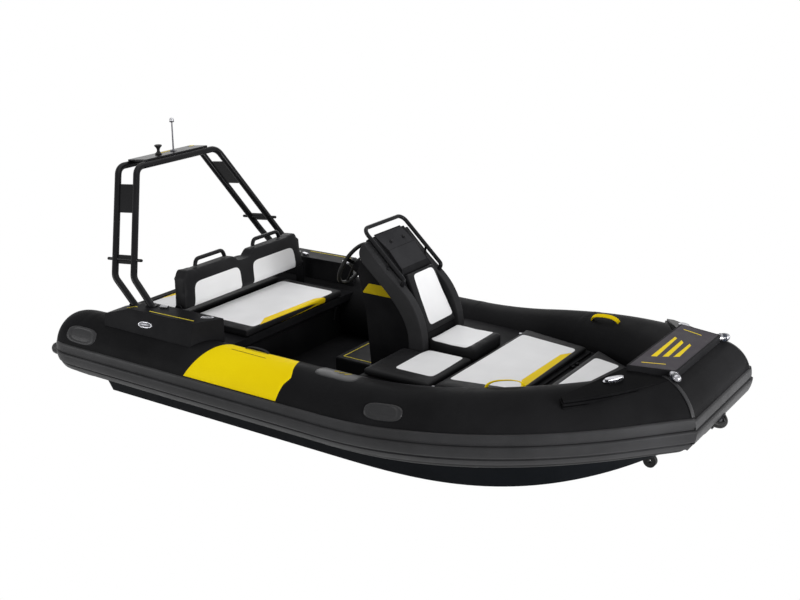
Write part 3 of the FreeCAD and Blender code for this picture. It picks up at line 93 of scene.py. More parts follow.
def sheet_mesh(name, grid, closed=True):
    """A surface over a grid of points, row by row, closed across the rows unless it is open. Points that coincide
    are merged, so that a row drawn in to one place becomes a pole, and a closed shell's faces point outwards."""
    rows, across = grid.shape[:2]
    index = np.arange(rows * across).reshape(rows, across)
    if closed:
        index = np.hstack([index, index[:, :1]])
    quads = np.stack([index[:-1, :-1], index[:-1, 1:], index[1:, 1:], index[1:, :-1]], axis=-1).reshape(-1, 4)
    mesh = bpy.data.meshes.new(name)
    mesh.from_pydata(grid.reshape(-1, 3).tolist(), [], quads.tolist())
    shell = bmesh.new()
    shell.from_mesh(mesh)
    bmesh.ops.remove_doubles(shell, verts=shell.verts, dist=2e-6)
    if closed:
        bmesh.ops.recalc_face_normals(shell, faces=shell.faces)
        if shell.calc_volume(signed=True) < 0:
            bmesh.ops.reverse_faces(shell, faces=shell.faces)
    shell.to_mesh(mesh)
    shell.free()
    mesh.polygons.foreach_set("use_smooth", np.ones(len(mesh.polygons), bool))
    mesh.set_sharp_from_angle(angle=math.radians(50))
    return linked(name, mesh)


def points(x, y, z):
    """A grid of points from their coordinates."""
    return np.stack(np.broadcast_arrays(x, y, z), axis=-1)


def seen_directly(tree):
    """One for rays from the camera, off gloss or through glass, which see the background plain white."""
    ray = node(tree, "LightPath").outputs
    seen = worked_out(tree, "MAXIMUM", ray["Is Camera Ray"], ray["Is Glossy Ray"])
    return worked_out(tree, "MAXIMUM", seen, ray["Is Transmission Ray"])


def stand(name, data, place, ahead):
    """A lamp or camera in its place, looking ahead."""
    holder = linked(name, data)
    holder.location = place
    holder.rotation_mode = "QUATERNION"
    holder.rotation_quaternion = ahead.to_track_quat("-Z", "Y")
    return holder


water_finish, water_tree, water_shader = finish_named("still_water_white")
water_shader.inputs["Base Color"].default_value = (0.8, 0.8, 0.8, 1)
water_shader.inputs["Roughness"].default_value = 0.9
bright = node(water_tree, "Emission", {"Color": (1, 1, 1, 1), "Strength": 1.0})
shown = node(water_tree, "MixShader", {0: seen_directly(water_tree), 1: water_shader.outputs[0],
                                       2: bright.outputs[0]})
water_out = next(n for n in water_tree.nodes if n.type == "OUTPUT_MATERIAL")
water_tree.links.new(shown.outputs[0], water_out.inputs["Surface"])
reach = np.linspace(-WATER_REACH, WATER_REACH, 3)
water = sheet_mesh("water_floor", points(reach[None], reach[:, None], 0.0), closed=False)
water.data.materials.append(water_finish)

sky = bpy.data.worlds.new("studio")
sky.use_nodes = True
bpy.context.scene.world = sky
sky_tree = sky.node_tree
sky_tree.nodes.clear()
plain, white = (node(sky_tree, "Background", {"Color": (1, 1, 1, 1), "Strength": strength}).outputs[0]
                for strength in (SKY_STRENGTH, 1.0))
both = node(sky_tree, "MixShader", {0: seen_directly(sky_tree), 1: plain, 2: white})
node(sky_tree, "OutputWorld", {"Surface": both.outputs[0]})

for name, place, size, power in (("lamp_overhead", (-0.5, 0.6, 5.5), 5.0, 120.0),
                                 ("lamp_camera_side", (7.7, -2.4, 1.2), 2.8, 580.0),
                                 ("lamp_ahead_port", (6.6, 2.8, 2.0), 2.4, 75.0),
                                 ("lamp_stern_side", (-4.6, -4.2, 1.2), 2.0, 80.0),
                                 ("lamp_far_side", (-4.0, 5.0, 3.5), 3.0, 60.0)):
    lamp = bpy.data.lights.new(name, "AREA")
    lamp.size, lamp.energy = size, power
    stand(name, lamp, place, LAMPS_AIM - Vector(place))

camera = stand("camera", bpy.data.cameras.new("camera"), CAMERA_PLACE, CAMERA_AHEAD)
camera.data.lens, camera.data.sensor_width = CAMERA_LENS, CAMERA_SENSOR
bpy.context.scene.camera = camera
bpy.context.scene.view_settings.view_transform = "Standard"

# Inflated collar: two side chambers and one across the bow, of coated fabric glued along lapped seams and
# blown up hard. The side chambers run level, turn up into the sheer, bend inwards and meet the bow chamber
# in mitres; tapered caps close them at the stern.
AHEAD, ACROSS, UP = np.eye(3)
caps, bow_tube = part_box("tube_end_cones"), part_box("tube_bow")
COLLAR_RADIUS = (caps[1].z - caps[0].z) / 2
COLLAR_LEVEL = (caps[1].z + caps[0].z) / 2
COLLAR_TRACK = caps[1].y - COLLAR_RADIUS
COLLAR_AFT = caps[1].x
CAP_LENGTH = caps[1].x - caps[0].x
SHEER_START, SHEER_RUN, SHEER = 0.1, 0.6, math.radians(9)
BEND_RADIUS, BEND = 1.92, math.radians(35)
MITRE = np.array([(bow_tube[0].x + bow_tube[1].x) / 2, 0.352, (bow_tube[0].z + bow_tube[1].z) / 2])
SEAM_WIDTH, SEAM_EASE, SEAM_PROUD = 0.045, 0.004, 0.0012
SEAMS = (COLLAR_AFT + SEAM_WIDTH / 2, -1.22, SHEER_START, 1.05)
LAYER_LOW, LAYER_HIGH, LAYER_PROUD = 22, 62, 0.004
CHAMBER_STEPS, ROUND_STEPS = 150, 96


def unit(way):
    """The direction with a length of one."""
    way = np.array(way, float)
    return way / np.linalg.norm(way, axis=-1, keepdims=True)


def collar_line(steps):
    """Places and headings along the port chamber's middle: a level run, an arc that turns up, an arc that
    bends inwards in the tilted plane and a straight run to the mitre, with steps points in each."""
    share = np.linspace(0, 1, steps)[:, None]
    ahead = AHEAD * math.cos(SHEER) + UP * math.sin(SHEER)
    start = np.array([COLLAR_AFT, COLLAR_TRACK, COLLAR_LEVEL])
    level_end = np.array([SHEER_START, COLLAR_TRACK, COLLAR_LEVEL])
    rise = SHEER_RUN / math.sin(SHEER)
    turn = share * SHEER
    lifted = level_end + rise * (AHEAD * np.sin(turn) + UP * (1 - np.cos(turn)))
    swing = share * BEND
    bent = lifted[-1] + BEND_RADIUS * (ahead * np.sin(swing) - ACROSS * (1 - np.cos(swing)))
    heading = ahead * math.cos(BEND) - ACROSS * math.sin(BEND)
    reach = (bent[-1][1] - MITRE[1]) / math.sin(BEND)
    places = [start + (level_end - start) * share, lifted, bent, bent[-1] + heading * reach * share]
    ways = [AHEAD + 0 * share, AHEAD * np.cos(turn) + UP * np.sin(turn),
            ahead * np.cos(swing) - ACROSS * np.sin(swing), heading + 0 * share]
    to_mitre = [0 * share] * 3 + [share]
    cut = [slice(None)] + [slice(1, None)] * 3
    return tuple(np.vstack([part[c] for part, c in zip(run, cut)]) for run in (places, ways, to_mitre))


def round_line(centre, way, radius, angle):
    """Points round a line that runs along way: their radius, and their angle up from straight out."""
    out = unit(np.cross(UP, way))
    return (centre + out * (radius * np.cos(angle))[..., None]
            + np.cross(way, out) * (radius * np.sin(angle))[..., None])


def along_collar(angle, radius, steps):
    """A surface carried along the port chamber: angle and radius give the section's points. Near the bow the
    rings lean over until the last lies in the mitre's plane."""
    places, ways, lean = collar_line(steps)
    grid = round_line(places[:, None], ways[:, None], radius, angle)
    plane = unit(ways[-1] - ACROSS)
    short = ((MITRE - grid) @ plane) / (ways @ plane)[:, None]
    return grid + ways[:, None] * (short * lean)[..., None]


def across_bow(angle, radius):
    """The same section carried across the bow, between the planes of the two mitres."""
    plane = collar_line(4)[1][-1] - ACROSS
    ring = points(radius * np.cos(angle), 0, radius * np.sin(angle))
    share = np.linspace(1, -1, 30)[:, None]
    grid = np.repeat((MITRE + ring)[None], len(share), axis=0)
    grid[..., 1] = (MITRE[1] - (ring @ plane) / plane[1]) * share
    return grid


def round_track(x, radius, turn):
    """Points at a radius round the level part of the port chamber."""
    return points(x, COLLAR_TRACK + radius * np.cos(turn), COLLAR_LEVEL + radius * np.sin(turn))


def cap_radius(share):
    """The cap's radius at a share of its length from the chamber: a superellipse, blunt at its tip."""
    return COLLAR_RADIUS * (1 - share ** 3) ** (1 / 4.5)


def starboard_of(grid):
    """The same surface on the starboard side."""
    return grid * np.array([1, -1, 1.0])


def here(tree):
    """The place on the object, in metres, by which patterns are laid out."""
    return node(tree, "TexCoord").outputs["Object"]


def noise(tree, place, scale, detail, **more):
    """Soft noise at a place."""
    made = node(tree, "TexNoise", {"Vector": place, "Scale": scale, "Detail": detail, **more})
    return made.outputs["Fac"]


def group_named(name, inputs, outputs):
    """An empty node group: inputs gives each input's kind, and the outputs are numbers."""
    group = bpy.data.node_groups.new(name, "ShaderNodeTree")
    for socket, kind in inputs.items():
        group.interface.new_socket(socket, in_out="INPUT", socket_type=f"NodeSocket{kind}")
    for socket in outputs:
        group.interface.new_socket(socket, in_out="OUTPUT", socket_type="NodeSocketFloat")
    return group, node(group, "NodeGroupInput").outputs, node(group, "NodeGroupOutput").inputs


def fabric_group():
    """Coated fabric: a fine woven height, broad soft patches of tone, and dusty smears for the roughness."""
    group, given, out = group_named("coated_fabric", {"Weave": "Float", "Patches": "Float"},
                                    ("Height", "Tone", "Smear"))
    place = here(group)
    threads = [node(group, "TexWave", {"Vector": place, "Scale": given["Weave"], "Distortion": 0.6, "Detail": 1.0},
                    bands_direction=axis).outputs["Fac"] for axis in "XYZ"]
    woven = worked_out(group, "ADD", worked_out(group, "ADD", *threads[:2]), threads[2])
    group.links.new(woven, out["Height"])
    group.links.new(noise(group, place, given["Patches"], 5.0, Roughness=0.6), out["Tone"])
    group.links.new(noise(group, place, 9.0, 8.0, Roughness=0.7, Distortion=0.8), out["Smear"])
    return group


coated_fabric = fabric_group()


def mixed(tree, mask, low, high):
    """A colour between two, by a mask."""
    low, high = (tone if isinstance(tone, bpy.types.NodeSocket) else (*tone, 1) for tone in (low, high))
    return node(tree, "Mix", {0: mask, 6: low, 7: high}, data_type="RGBA").outputs[2]


def ranged(tree, value, low, high, start=0.3, end=0.7):
    """A value spread from its usual range onto another."""
    return node(tree, "MapRange", {0: value, 1: start, 2: end, 3: low, 4: high}).outputs[0]


def finished(tree, shader, colour, rough, height, depth, strength, gloss):
    """The shader takes a colour, a roughness, a bump of this depth and strength, and a gloss."""
    bump = node(tree, "Bump", {"Height": height, "Distance": depth, "Strength": strength})
    for name, value in (("Base Color", colour), ("Roughness", rough), ("Normal", bump.outputs[0])):
        tree.links.new(value, shader.inputs[name])
    shader.inputs["Specular IOR Level"].default_value = gloss


def toned(name, dark, pale, rough, patches, gloss, depth, strength=0.5, weave=300.0, grit=None):
    """A finish in soft patches between two tones, with smeared roughness. Its bump is the weave or, where grit
    gives a scale and detail, fine noise."""
    made, tree, shader = finish_named(name)
    cloth = node(tree, "Group", {"Weave": weave, "Patches": patches}, node_tree=coated_fabric).outputs
    height = cloth["Height"] if grit is None else noise(tree, here(tree), *grit)
    finished(tree, shader, mixed(tree, ranged(tree, cloth["Tone"], 0, 1), dark, pale),
             ranged(tree, cloth["Smear"], *rough), height, depth, strength, gloss)
    return made


def coated(name, dark, pale, rough, weave=420.0, depth=0.00003):
    """Coated fabric or webbing: its weave is the bump."""
    return toned(name, dark, pale, rough, 1.7, 0.008, depth, weave=weave)


def placed(piece, finish, body, stands_for):
    """The piece takes its finish and its slot, rides on a body and takes the place of these CAD nodes."""
    piece.data.materials.clear()
    piece.data.materials.append(finish)
    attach(piece, body)
    if stands_for:
        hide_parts(*stands_for)


def add(name, grid, finish, body="boat", stands_for=()):
    """A closed piece made from a grid."""
    placed(sheet_mesh(name, grid), finish, body, stands_for)


def both_sides(name, grid, finish, stands_for=()):
    """The port piece and its mirror image, both fixed to the boat. {} in a CAD node's name is the side."""
    for side, shape in (("port", grid), ("starboard", starboard_of(grid))):
        add(f"{name}_{side}", shape, finish, stands_for=[node_name.format(side) for node_name in stands_for])


def ends_drawn_in(grid, ends=(0, -1)):
    """The grid with a last row at each of these ends, drawn in to the middle of its ring, to close it."""
    middle = {end: np.repeat(grid[end].mean(axis=0)[None, None], grid.shape[1], axis=1) for end in ends}
    return np.vstack([middle.get(0, grid[:0]), grid, middle.get(-1, grid[:0])])


def port_collar():
    """The port cap and chamber, proud of the round section by a lap of fabric at each seam: within half the
    lap's width, eased out at its edges."""
    share = (1 - np.linspace(1, 0, 40) ** 2)[:, None]
    cap = round_track(COLLAR_AFT - CAP_LENGTH * share, cap_radius(share), round_angle)
    places = collar_line(CHAMBER_STEPS)[0][:, 0]
    near = np.min([np.abs(places - seam) for seam in SEAMS], axis=0)
    lap = SEAM_PROUD * np.clip((SEAM_WIDTH / 2 - near) / SEAM_EASE + 0.5, 0, 1)
    chamber = along_collar(round_angle, full_round[None] + lap[:, None], CHAMBER_STEPS)
    return ends_drawn_in(np.vstack([cap[::-1][:-1], chamber]), ends=(-1,))


collar_finish = coated("black_coated_fabric", (0.0085, 0.0085, 0.009), (0.015, 0.015, 0.016), (0.32, 0.44))
round_angle = np.linspace(0, 2 * math.pi, ROUND_STEPS + 1)[:-1]
full_round = COLLAR_RADIUS * np.ones_like(round_angle)
both_sides("collar", port_collar(), collar_finish, ("tube_{}", "tube_end_cones"))
# The bow chamber has a doubled layer of fabric between two angles, eased out over two degrees.
in_layer = np.minimum(np.degrees(round_angle) - LAYER_LOW, LAYER_HIGH - np.degrees(round_angle))
bow_round = full_round + LAYER_PROUD * np.clip(in_layer / 2 + 0.5, 0, 1)
add("collar_bow", ends_drawn_in(across_bow(round_angle, bow_round)), collar_finish,
    stands_for=("tube_bow",))

# Rub strakes: one thick extruded rubber band round the whole collar, from stern tip to stern tip, glued on
# below its shoulder. It has a broad rib in the middle, a narrow groove on each side and two thinner flanges.
EDGE_THICK, RIB_THICK, FLANGE_THICK, GROOVE_THICK = 0.0015, 0.022, 0.013, 0.004
STRAKE_SHAPE = [(-40, EDGE_THICK), (-39.6, 0.006), (-38.6, FLANGE_THICK), (-33.5, FLANGE_THICK),
                (-28, FLANGE_THICK), (-27.2, GROOVE_THICK), (-23.4, GROOVE_THICK), (-22.6, 0.0155),
                (-21.4, RIB_THICK), (-13.5, RIB_THICK + 0.001), (-5.6, RIB_THICK), (-4.4, 0.0155),
                (-3.8, GROOVE_THICK), (-0.6, GROOVE_THICK), (0.2, FLANGE_THICK), (6, FLANGE_THICK + 0.0005),
                (11.4, FLANGE_THICK), (12.6, 0.006), (13, EDGE_THICK)]
STRAKE_END = 0.94


def rounded_through(outline, between):
    """The outline again with places added between each pair, eased so that its corners are soft."""
    share = np.linspace(0, 1, between, endpoint=False)
    angle, height = (np.append((line[:-1, None] + (line[1:] - line[:-1])[:, None] * part).ravel(), line[-1])
                     for line, part in zip(np.array(outline, float).T, (share, share * share * (3 - 2 * share))))
    return angle, height


def cap_strake():
    """The strake round the cap: its height is added square to the cap's superellipse at each place."""
    share = STRAKE_END * (1 - np.linspace(1, 0, 30) ** 1.6)[:, None]
    radius = cap_radius(share)
    slope = np.gradient(radius[:, 0], CAP_LENGTH * share[:, 0])[:, None]
    steep = np.sqrt(1 + slope ** 2)
    proud = strake_proud[None] * np.clip((1 - share / STRAKE_END) * 40, 0.1, 1)
    return round_track(COLLAR_AFT - CAP_LENGTH * share - slope / steep * proud, radius + proud / steep, strake_angle)


def rubber(name, dark, pale, rough):
    """Moulded rubber, finely pitted."""
    return toned(name, dark, pale, rough, 2.3, 0.12, 0.00006, grit=(900.0, 2.0))


strake_degrees, strake_proud = rounded_through(STRAKE_SHAPE, 3)
strake_angle, strake_radius = np.radians(strake_degrees), COLLAR_RADIUS + strake_proud
strake_finish = rubber("dull_black_rubber", (0.022, 0.022, 0.023), (0.036, 0.036, 0.038), (0.36, 0.5))
port_strake = np.vstack([cap_strake()[::-1][:-1], along_collar(strake_angle, strake_radius, 60)])
both_sides("strake", ends_drawn_in(port_strake), strake_finish, ("rub_strake_{}",))
add("strake_bow", ends_drawn_in(across_bow(strake_angle, strake_radius)), strake_finish,
    stands_for=("rub_strake_bow",))

# Side panels: yellow coated fabric glued flat round the shoulder of each side chamber. The after edge is one
# round sweep and the fore edge a wave; the panel is left plain, with a patch line under the carry loop.
PANEL_LOW, PANEL_HIGH, PANEL_PROUD = math.radians(14.5), math.radians(108), 0.0015
PANEL_ROWS, PANEL_COLUMNS = 80, 60
FORE_EDGE = ((0, 0.09, 0.17, 0.31, 0.38, 0.45, 0.54, 0.65, 0.84, 1.0),
             (-0.23, -0.222, -0.216, -0.203, -0.188, -0.176, -0.189, -0.21, -0.236, -0.262))


def closed_sheet(outer, inner):
    """Two sheets with the same rim, made into the two faces of one closed shell."""
    return np.concatenate([outer, inner[:, -2:0:-1]], axis=1)


def rim_eased(rows, columns, steep_along=60, steep_across=60):
    """One inside a sheet, falling to nought at its four edges: the share from the nearest edge times steep."""
    along, across = (np.minimum(share, 1 - share) * steep for share, steep in
                     ((np.linspace(0, 1, rows), steep_along), (np.linspace(0, 1, columns), steep_across)))
    return np.clip(np.minimum(along[:, None], across[None]), 0, 1)


def side_panel():
    """The port panel: a share of the way along runs from the after edge, a slope that bows out by a sine, to
    the fore edge, read from its places; a share across turns it round the chamber. Its two faces stand proud
    of the skin and below it, and meet at the rim."""
    over = np.linspace(0, 1, PANEL_COLUMNS)[None]
    aft = -1.003 + 0.173 * over + 0.012 * np.sin(over * math.pi)
    x = aft + (np.interp(over, *FORE_EDGE) - aft) * np.linspace(0, 1, PANEL_ROWS)[:, None]
    edge = rim_eased(PANEL_ROWS, PANEL_COLUMNS, 60, 40)
    return closed_sheet(*(round_track(x, COLLAR_RADIUS + lift * edge, PANEL_LOW + (PANEL_HIGH - PANEL_LOW) * over)
                          for lift in (PANEL_PROUD, -PANEL_PROUD)))


yellow_finish = coated("yellow_coated_fabric", (0.84, 0.62, 0.004), (0.9, 0.69, 0.006), (0.34, 0.46))
both_sides("panel", side_panel(), yellow_finish, ("side_panels",))

# Hull, deck plate and motor board: welded aluminium sheet, painted black. The bottom stays as the shipyard
# built it; the paint is a little uneven in tone and smeared in its gloss.


def painted(name, dark, pale, rough, grit=260.0, depth=0.00006, gloss=0.012):
    """Sprayed paint or moulded gelcoat: an orange-peel bump of this grit and depth."""
    return toned(name, dark, pale, rough, 3.0, gloss, depth, 0.4, grit=(grit, 3.0))


def dress(names, finish):
    """The CAD nodes keep their shape and take this finish."""
    for name in names:
        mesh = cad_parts[name].data
        mesh.materials.clear()
        mesh.materials.append(finish)


hull_paint = painted("black_hull_paint", (0.002, 0.003, 0.004), (0.004, 0.005, 0.007), (0.3, 0.5))
deck_paint = painted("black_deck_paint", (0.008, 0.008, 0.009), (0.015, 0.015, 0.016), (0.45, 0.65), 700.0, 0.00012)
dress(["hull", "transom_board"], hull_paint)
dress(["deck_floor"], deck_paint)

# Mouldings and tubes: bench, quarter boxes, console, foredeck and bow step are black laminate from polished
# moulds, with a faint waviness in the gloss. Roll bar, handles and rail are bent tube, powder-coated black.
gelcoat = painted("black_gelcoat", (0.008, 0.008, 0.009), (0.016, 0.016, 0.017), (0.3, 0.42), 14.0, 0.0004)
tube_paint = painted("black_powder_coat", (0.006, 0.006, 0.007), (0.011, 0.011, 0.012), (0.2, 0.28), 60.0, 0.0001,
                     gloss=0.09)
dress(["arch_front_hoop", "arch_rear_hoop", "backrest_handles", "console_handrail"], tube_paint)

# Seat covers: smooth black vinyl stretched over foam, with pale inlays and a yellow flash sewn in flush.
# Each cushion is filled like the real one: its blank is blown up a little and held where it rests.
FILL_PRESSURE, FILL_STEPS = 4.0, 20
SEAM_HALF, STITCH_HALF, FLASH_CORNER = 0.0012, 0.003, 0.006


def dotted(tree, place, way):
    """How far a place lies along a direction."""
    return node(tree, "VectorMath", {0: place, 1: way}, operation="DOT_PRODUCT").outputs["Value"]


def panel_group():
    """How far a place is inside a four-sided panel: the least of its distances from the four side planes,
    taken smoothly so that the corners come out round. Above zero is inside."""
    sides = {f"{what} {side}": kind for side in range(4) for what, kind in (("Side", "Vector"), ("Reach", "Float"))}
    group, given, out = group_named("panel_depth", {**sides, "Round": "Float"}, ("Depth",))
    place = here(group)
    inside = [worked_out(group, "SUBTRACT", given[f"Reach {side}"], dotted(group, place, given[f"Side {side}"]))
              for side in range(4)]
    depth = inside[0]
    for other in inside[1:]:
        depth = worked_out(group, "SMOOTH_MIN", depth, other, given["Round"])
    group.links.new(depth, out["Depth"])
    return group


panel_depth = panel_group()


def inlay_depth(tree, corners, facing, roundness):
    """The depth inside a panel with these corners, given in plan or in space, its sides square to the facing
    direction."""
    corners = np.array([(*corner, 0)[:3] for corner in corners], float)
    middle = corners.mean(axis=0)
    made = node(tree, "Group", node_tree=panel_depth)
    for side in range(4):
        a, b = corners[side], corners[(side + 1) % 4]
        out = unit(np.cross(b - a, facing))
        out *= 1 if (a - middle) @ out > 0 else -1
        made.inputs[f"Side {side}"].default_value = out
        made.inputs[f"Reach {side}"].default_value = a @ out
    made.inputs["Round"].default_value = roundness
    return made.outputs["Depth"]


def vinyl(name, inlays, flashes=(), facing=UP, behind=None, corner=0.055):
    """Seat vinyl: black with a leather grain, white inlays, rounded off within corner, and yellow flashes, with
    a sewn groove round each. behind is a plane, its direction and reach, on whose far side only black shows."""
    made, tree, shader = finish_named(name)
    place = here(tree)
    grain = node(tree, "TexVoronoi", {"Vector": place, "Scale": 520.0}).outputs["Distance"]
    tone = ranged(tree, noise(tree, place, 4.0, 4.0), 0, 1)
    colour = mixed(tree, tone, (0.01, 0.01, 0.011), (0.017, 0.017, 0.018))
    pale = mixed(tree, tone, (0.8, 0.8, 0.81), (0.86, 0.86, 0.87))
    bright = mixed(tree, tone, (0.8, 0.55, 0.004), (0.88, 0.64, 0.006))
    allowed = worked_out(tree, "GREATER_THAN", dotted(tree, place, behind[0]), behind[1]) if behind else 1.0
    groove = 1.0
    for shapes, paint, roundness in ((inlays, pale, corner), (flashes, bright, FLASH_CORNER)):
        for corners in shapes:
            depth = inlay_depth(tree, corners, facing, roundness)
            mask = worked_out(tree, "MULTIPLY", ranged(tree, depth, 0, 1, 0, SEAM_HALF), allowed)
            colour = mixed(tree, mask, colour, paint)
            stitch = ranged(tree, worked_out(tree, "ABSOLUTE", depth), 0, 1, 0, STITCH_HALF)
            groove = worked_out(tree, "MINIMUM", groove, stitch)
    height = worked_out(tree, "ADD", worked_out(tree, "MULTIPLY", grain, 0.12), groove)
    rough = ranged(tree, noise(tree, place, 16.0, 6.0), 0.38, 0.52)
    finished(tree, shader, colour, rough, height, 0.002, 0.6, 0.06)
    return made


def copy_of(name, stands_for, flatten=False):
    """A new piece with the CAD node's shape, its doubled points merged and, if asked, its flat faces whole."""
    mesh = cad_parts[stands_for].data.copy()
    shell = bmesh.new()
    shell.from_mesh(mesh)
    bmesh.ops.remove_doubles(shell, verts=shell.verts, dist=1e-5)
    if flatten:
        bmesh.ops.dissolve_limit(shell, angle_limit=math.radians(0.5), verts=shell.verts, edges=shell.edges)
    shell.to_mesh(mesh)
    shell.free()
    return linked(name, mesh)


def evaluated(piece):
    """The piece as its modifiers leave it."""
    return piece.evaluated_get(bpy.context.evaluated_depsgraph_get())


def settle(piece):
    """The piece's modifiers are worked into its mesh, which is then shaded smooth."""
    mesh = bpy.data.meshes.new_from_object(evaluated(piece))
    piece.modifiers.clear()
    piece.data = mesh
    mesh.polygons.foreach_set("use_smooth", np.ones(len(mesh.polygons), bool))


def points_of(mesh, what="co"):
    """The mesh's points, or another of their vectors, a row each."""
    found = np.empty(len(mesh.vertices) * 3, np.float32)
    mesh.vertices.foreach_get(what, found)
    return found.reshape(-1, 3)


def stuffed(name, stands_for, finish, body, voxel, swell, soften=8):
    """The seat's block rounded off and drawn in by swell, then blown up as cloth under pressure. A point that
    the filling would move by m moves by swell * tanh(m / swell), and never out of the block's own box."""
    piece = copy_of(name, stands_for)
    corners = points_of(piece.data)
    low, high = corners.min(axis=0), corners.max(axis=0)
    skin = piece.modifiers.new("skin", "REMESH")
    skin.mode, skin.voxel_size = "VOXEL", voxel
    ease = piece.modifiers.new("ease", "SMOOTH")
    ease.factor, ease.iterations = 0.5, soften
    settle(piece)
    start = points_of(piece.data).astype(float) - 0.6 * swell * points_of(piece.data, "normal")
    piece.data.vertices.foreach_set("co", start.ravel())
    cloth = piece.modifiers.new("filling", "CLOTH")
    cloth.settings.use_pressure, cloth.settings.uniform_pressure_force = True, FILL_PRESSURE
    cloth.settings.effector_weights.gravity = 0
    cloth.point_cache.frame_end = FILL_STEPS
    for moment in range(1, FILL_STEPS + 1):
        bpy.context.scene.frame_set(moment)
    moved = points_of(evaluated(piece).data) - start
    piece.modifiers.clear()
    size = np.linalg.norm(moved, axis=1)[:, None] + 1e-9
    start = start + moved / size * swell * np.tanh(size / swell)
    piece.data.vertices.foreach_set("co", np.clip(start, low, high).ravel())
    piece.data.update()
    smooth = piece.modifiers.new("smooth", "SUBSURF")
    smooth.levels = smooth.render_levels = 1
    settle(piece)
    placed(piece, finish, body, (stands_for,))


for seat, block, body, voxel, swell, inlay, *flashes in (
        ("bench_seat", "bench_cushion_front", "boat", 0.014, 0.01,
         [(-1.425, -0.47), (-1.425, 0.47), (-0.918, 0.47), (-0.918, -0.47)],
         [(-0.912, -0.399), (-0.965, -0.285), (-0.943, 0.269), (-0.9, 0.352)]),
        ("stern_seat", "bench_cushion_aft", "boat", 0.014, 0.01,
         [(-1.885, -0.47), (-1.885, 0.47), (-1.64, 0.47), (-1.64, -0.47)],
         [(-1.895, -0.36), (-1.85, -0.26), (-1.85, 0.26), (-1.895, 0.36)]),
        ("console_seat", "bow_cushion_seat", "boat", 0.013, 0.009,
         [(0.262, -0.055), (0.262, 0.292), (0.558, 0.296), (0.56, -0.055)]),
        ("side_seat", "bow_cushion_side", "boat", 0.013, 0.007,
         [(0.29, -0.521), (0.29, -0.125), (0.568, -0.121), (0.571, -0.52)]),
        ("locker_lid", "bow_cushion_centre", "bow_locker_lid", 0.013, 0.006,
         [(0.674, -0.493), (0.672, 0.48), (1.108, 0.417), (1.111, -0.403)],
         [(1.122, -0.399), (1.057, -0.257), (1.061, 0.271), (1.108, 0.348)]),
        ("bow_seat", "bow_cushion_forward", "boat", 0.013, 0.007,
         [(1.277, -0.352), (1.275, 0.349), (1.471, 0.296), (1.404, -0.144)])):
    stuffed(f"{seat}_cover", block, vinyl(f"vinyl_{seat}", [inlay], flashes), body, voxel, swell)
BACK_PIVOT, BACK_LEAN = np.array([-1.4, 0, 0.75]), math.radians(6)
back_ahead = AHEAD * math.cos(BACK_LEAN) + UP * math.sin(BACK_LEAN)
back_up = UP * math.cos(BACK_LEAN) - AHEAD * math.sin(BACK_LEAN)
back_panels = [[BACK_PIVOT + back_up * z + back_ahead * 0.05 + ACROSS * side * y
                for y, z in ((0.068, -0.06), (0.072, 0.168), (0.548, 0.168), (0.572, -0.06))] for side in (-1, 1)]
back_front = (back_ahead, float(back_ahead @ BACK_PIVOT) + 0.02)
stuffed("backrest_cover", "backrest",
        vinyl("vinyl_backrest", back_panels, facing=back_ahead, behind=back_front, corner=0.09),
        "backrest", 0.012, 0.009, soften=5)
rest_panel = [(0.05, 0.01, 1.065), (0.05, 0.252, 1.065), (0.2, 0.288, 0.745), (0.2, -0.012, 0.745)]
stuffed("console_rest_cover", "console_front_cushion",
        vinyl("vinyl_console_rest", [rest_panel], facing=(0.94, 0, 0.34)), "boat", 0.01, 0.006)

# Moulded and welded parts keep the shape the shipyard gave them, but no edge is sharp: laminate comes out of
# its mould with a rounded arris, and plate is eased with a file before it is painted.


def softened(name, stands_for, finish, width, body):
    """The part's own shape with the edges that turn by more than 35 degrees rounded to this width."""
    piece = copy_of(name, stands_for, flatten=True)
    edge = piece.modifiers.new("rounded", "BEVEL")
    edge.width, edge.segments, edge.limit_method, edge.angle_limit = width, 3, "ANGLE", math.radians(35)
    settle(piece)
    weighted = piece.modifiers.new("even_light", "WEIGHTED_NORMAL")
    weighted.keep_sharp, weighted.weight = True, 90
    settle(piece)
    placed(piece, finish, body, (stands_for,))


# The wings' satin black is paler than the gelcoat. This is partly their own satin tone and partly painted light,
# standing in for the light on the wings' faces.
wing_finish_painted_light = painted("satin_black_wing_painted_light", (0.024, 0.024, 0.025), (0.036, 0.036, 0.038), (0.26, 0.38), 14.0, 0.0004)
fairing_finish = painted("deep_black_fairing", (0.005, 0.005, 0.0055), (0.009, 0.009, 0.0095), (0.2, 0.3), 14.0,
                         0.0004, 0.006)
for name, width, finish in (
        ("bench_base", 0.008, gelcoat), ("quarter_box_port", 0.014, gelcoat),
        ("quarter_box_starboard", 0.014, gelcoat), ("console_plinth", 0.012, gelcoat),
        ("console_body", 0.006, gelcoat), ("console_wing_port", 0.008, wing_finish_painted_light),
        ("console_wing_starboard", 0.008, wing_finish_painted_light), ("foredeck", 0.006, gelcoat),
        ("bow_locker_lid", 0.003, gelcoat), ("bow_step", 0.007, gelcoat), ("bow_wedges", 0.006, fairing_finish)):
    softened(f"{name}_moulding", name, finish, width, "bow_locker_lid" if "lid" in name else "boat")
for name, width in (("arch_leg_plates", 0.002), ("arch_top_plate", 0.004), ("backrest_brackets", 0.002)):
    softened(f"{name}_eased", name, tube_paint, width, "boat")

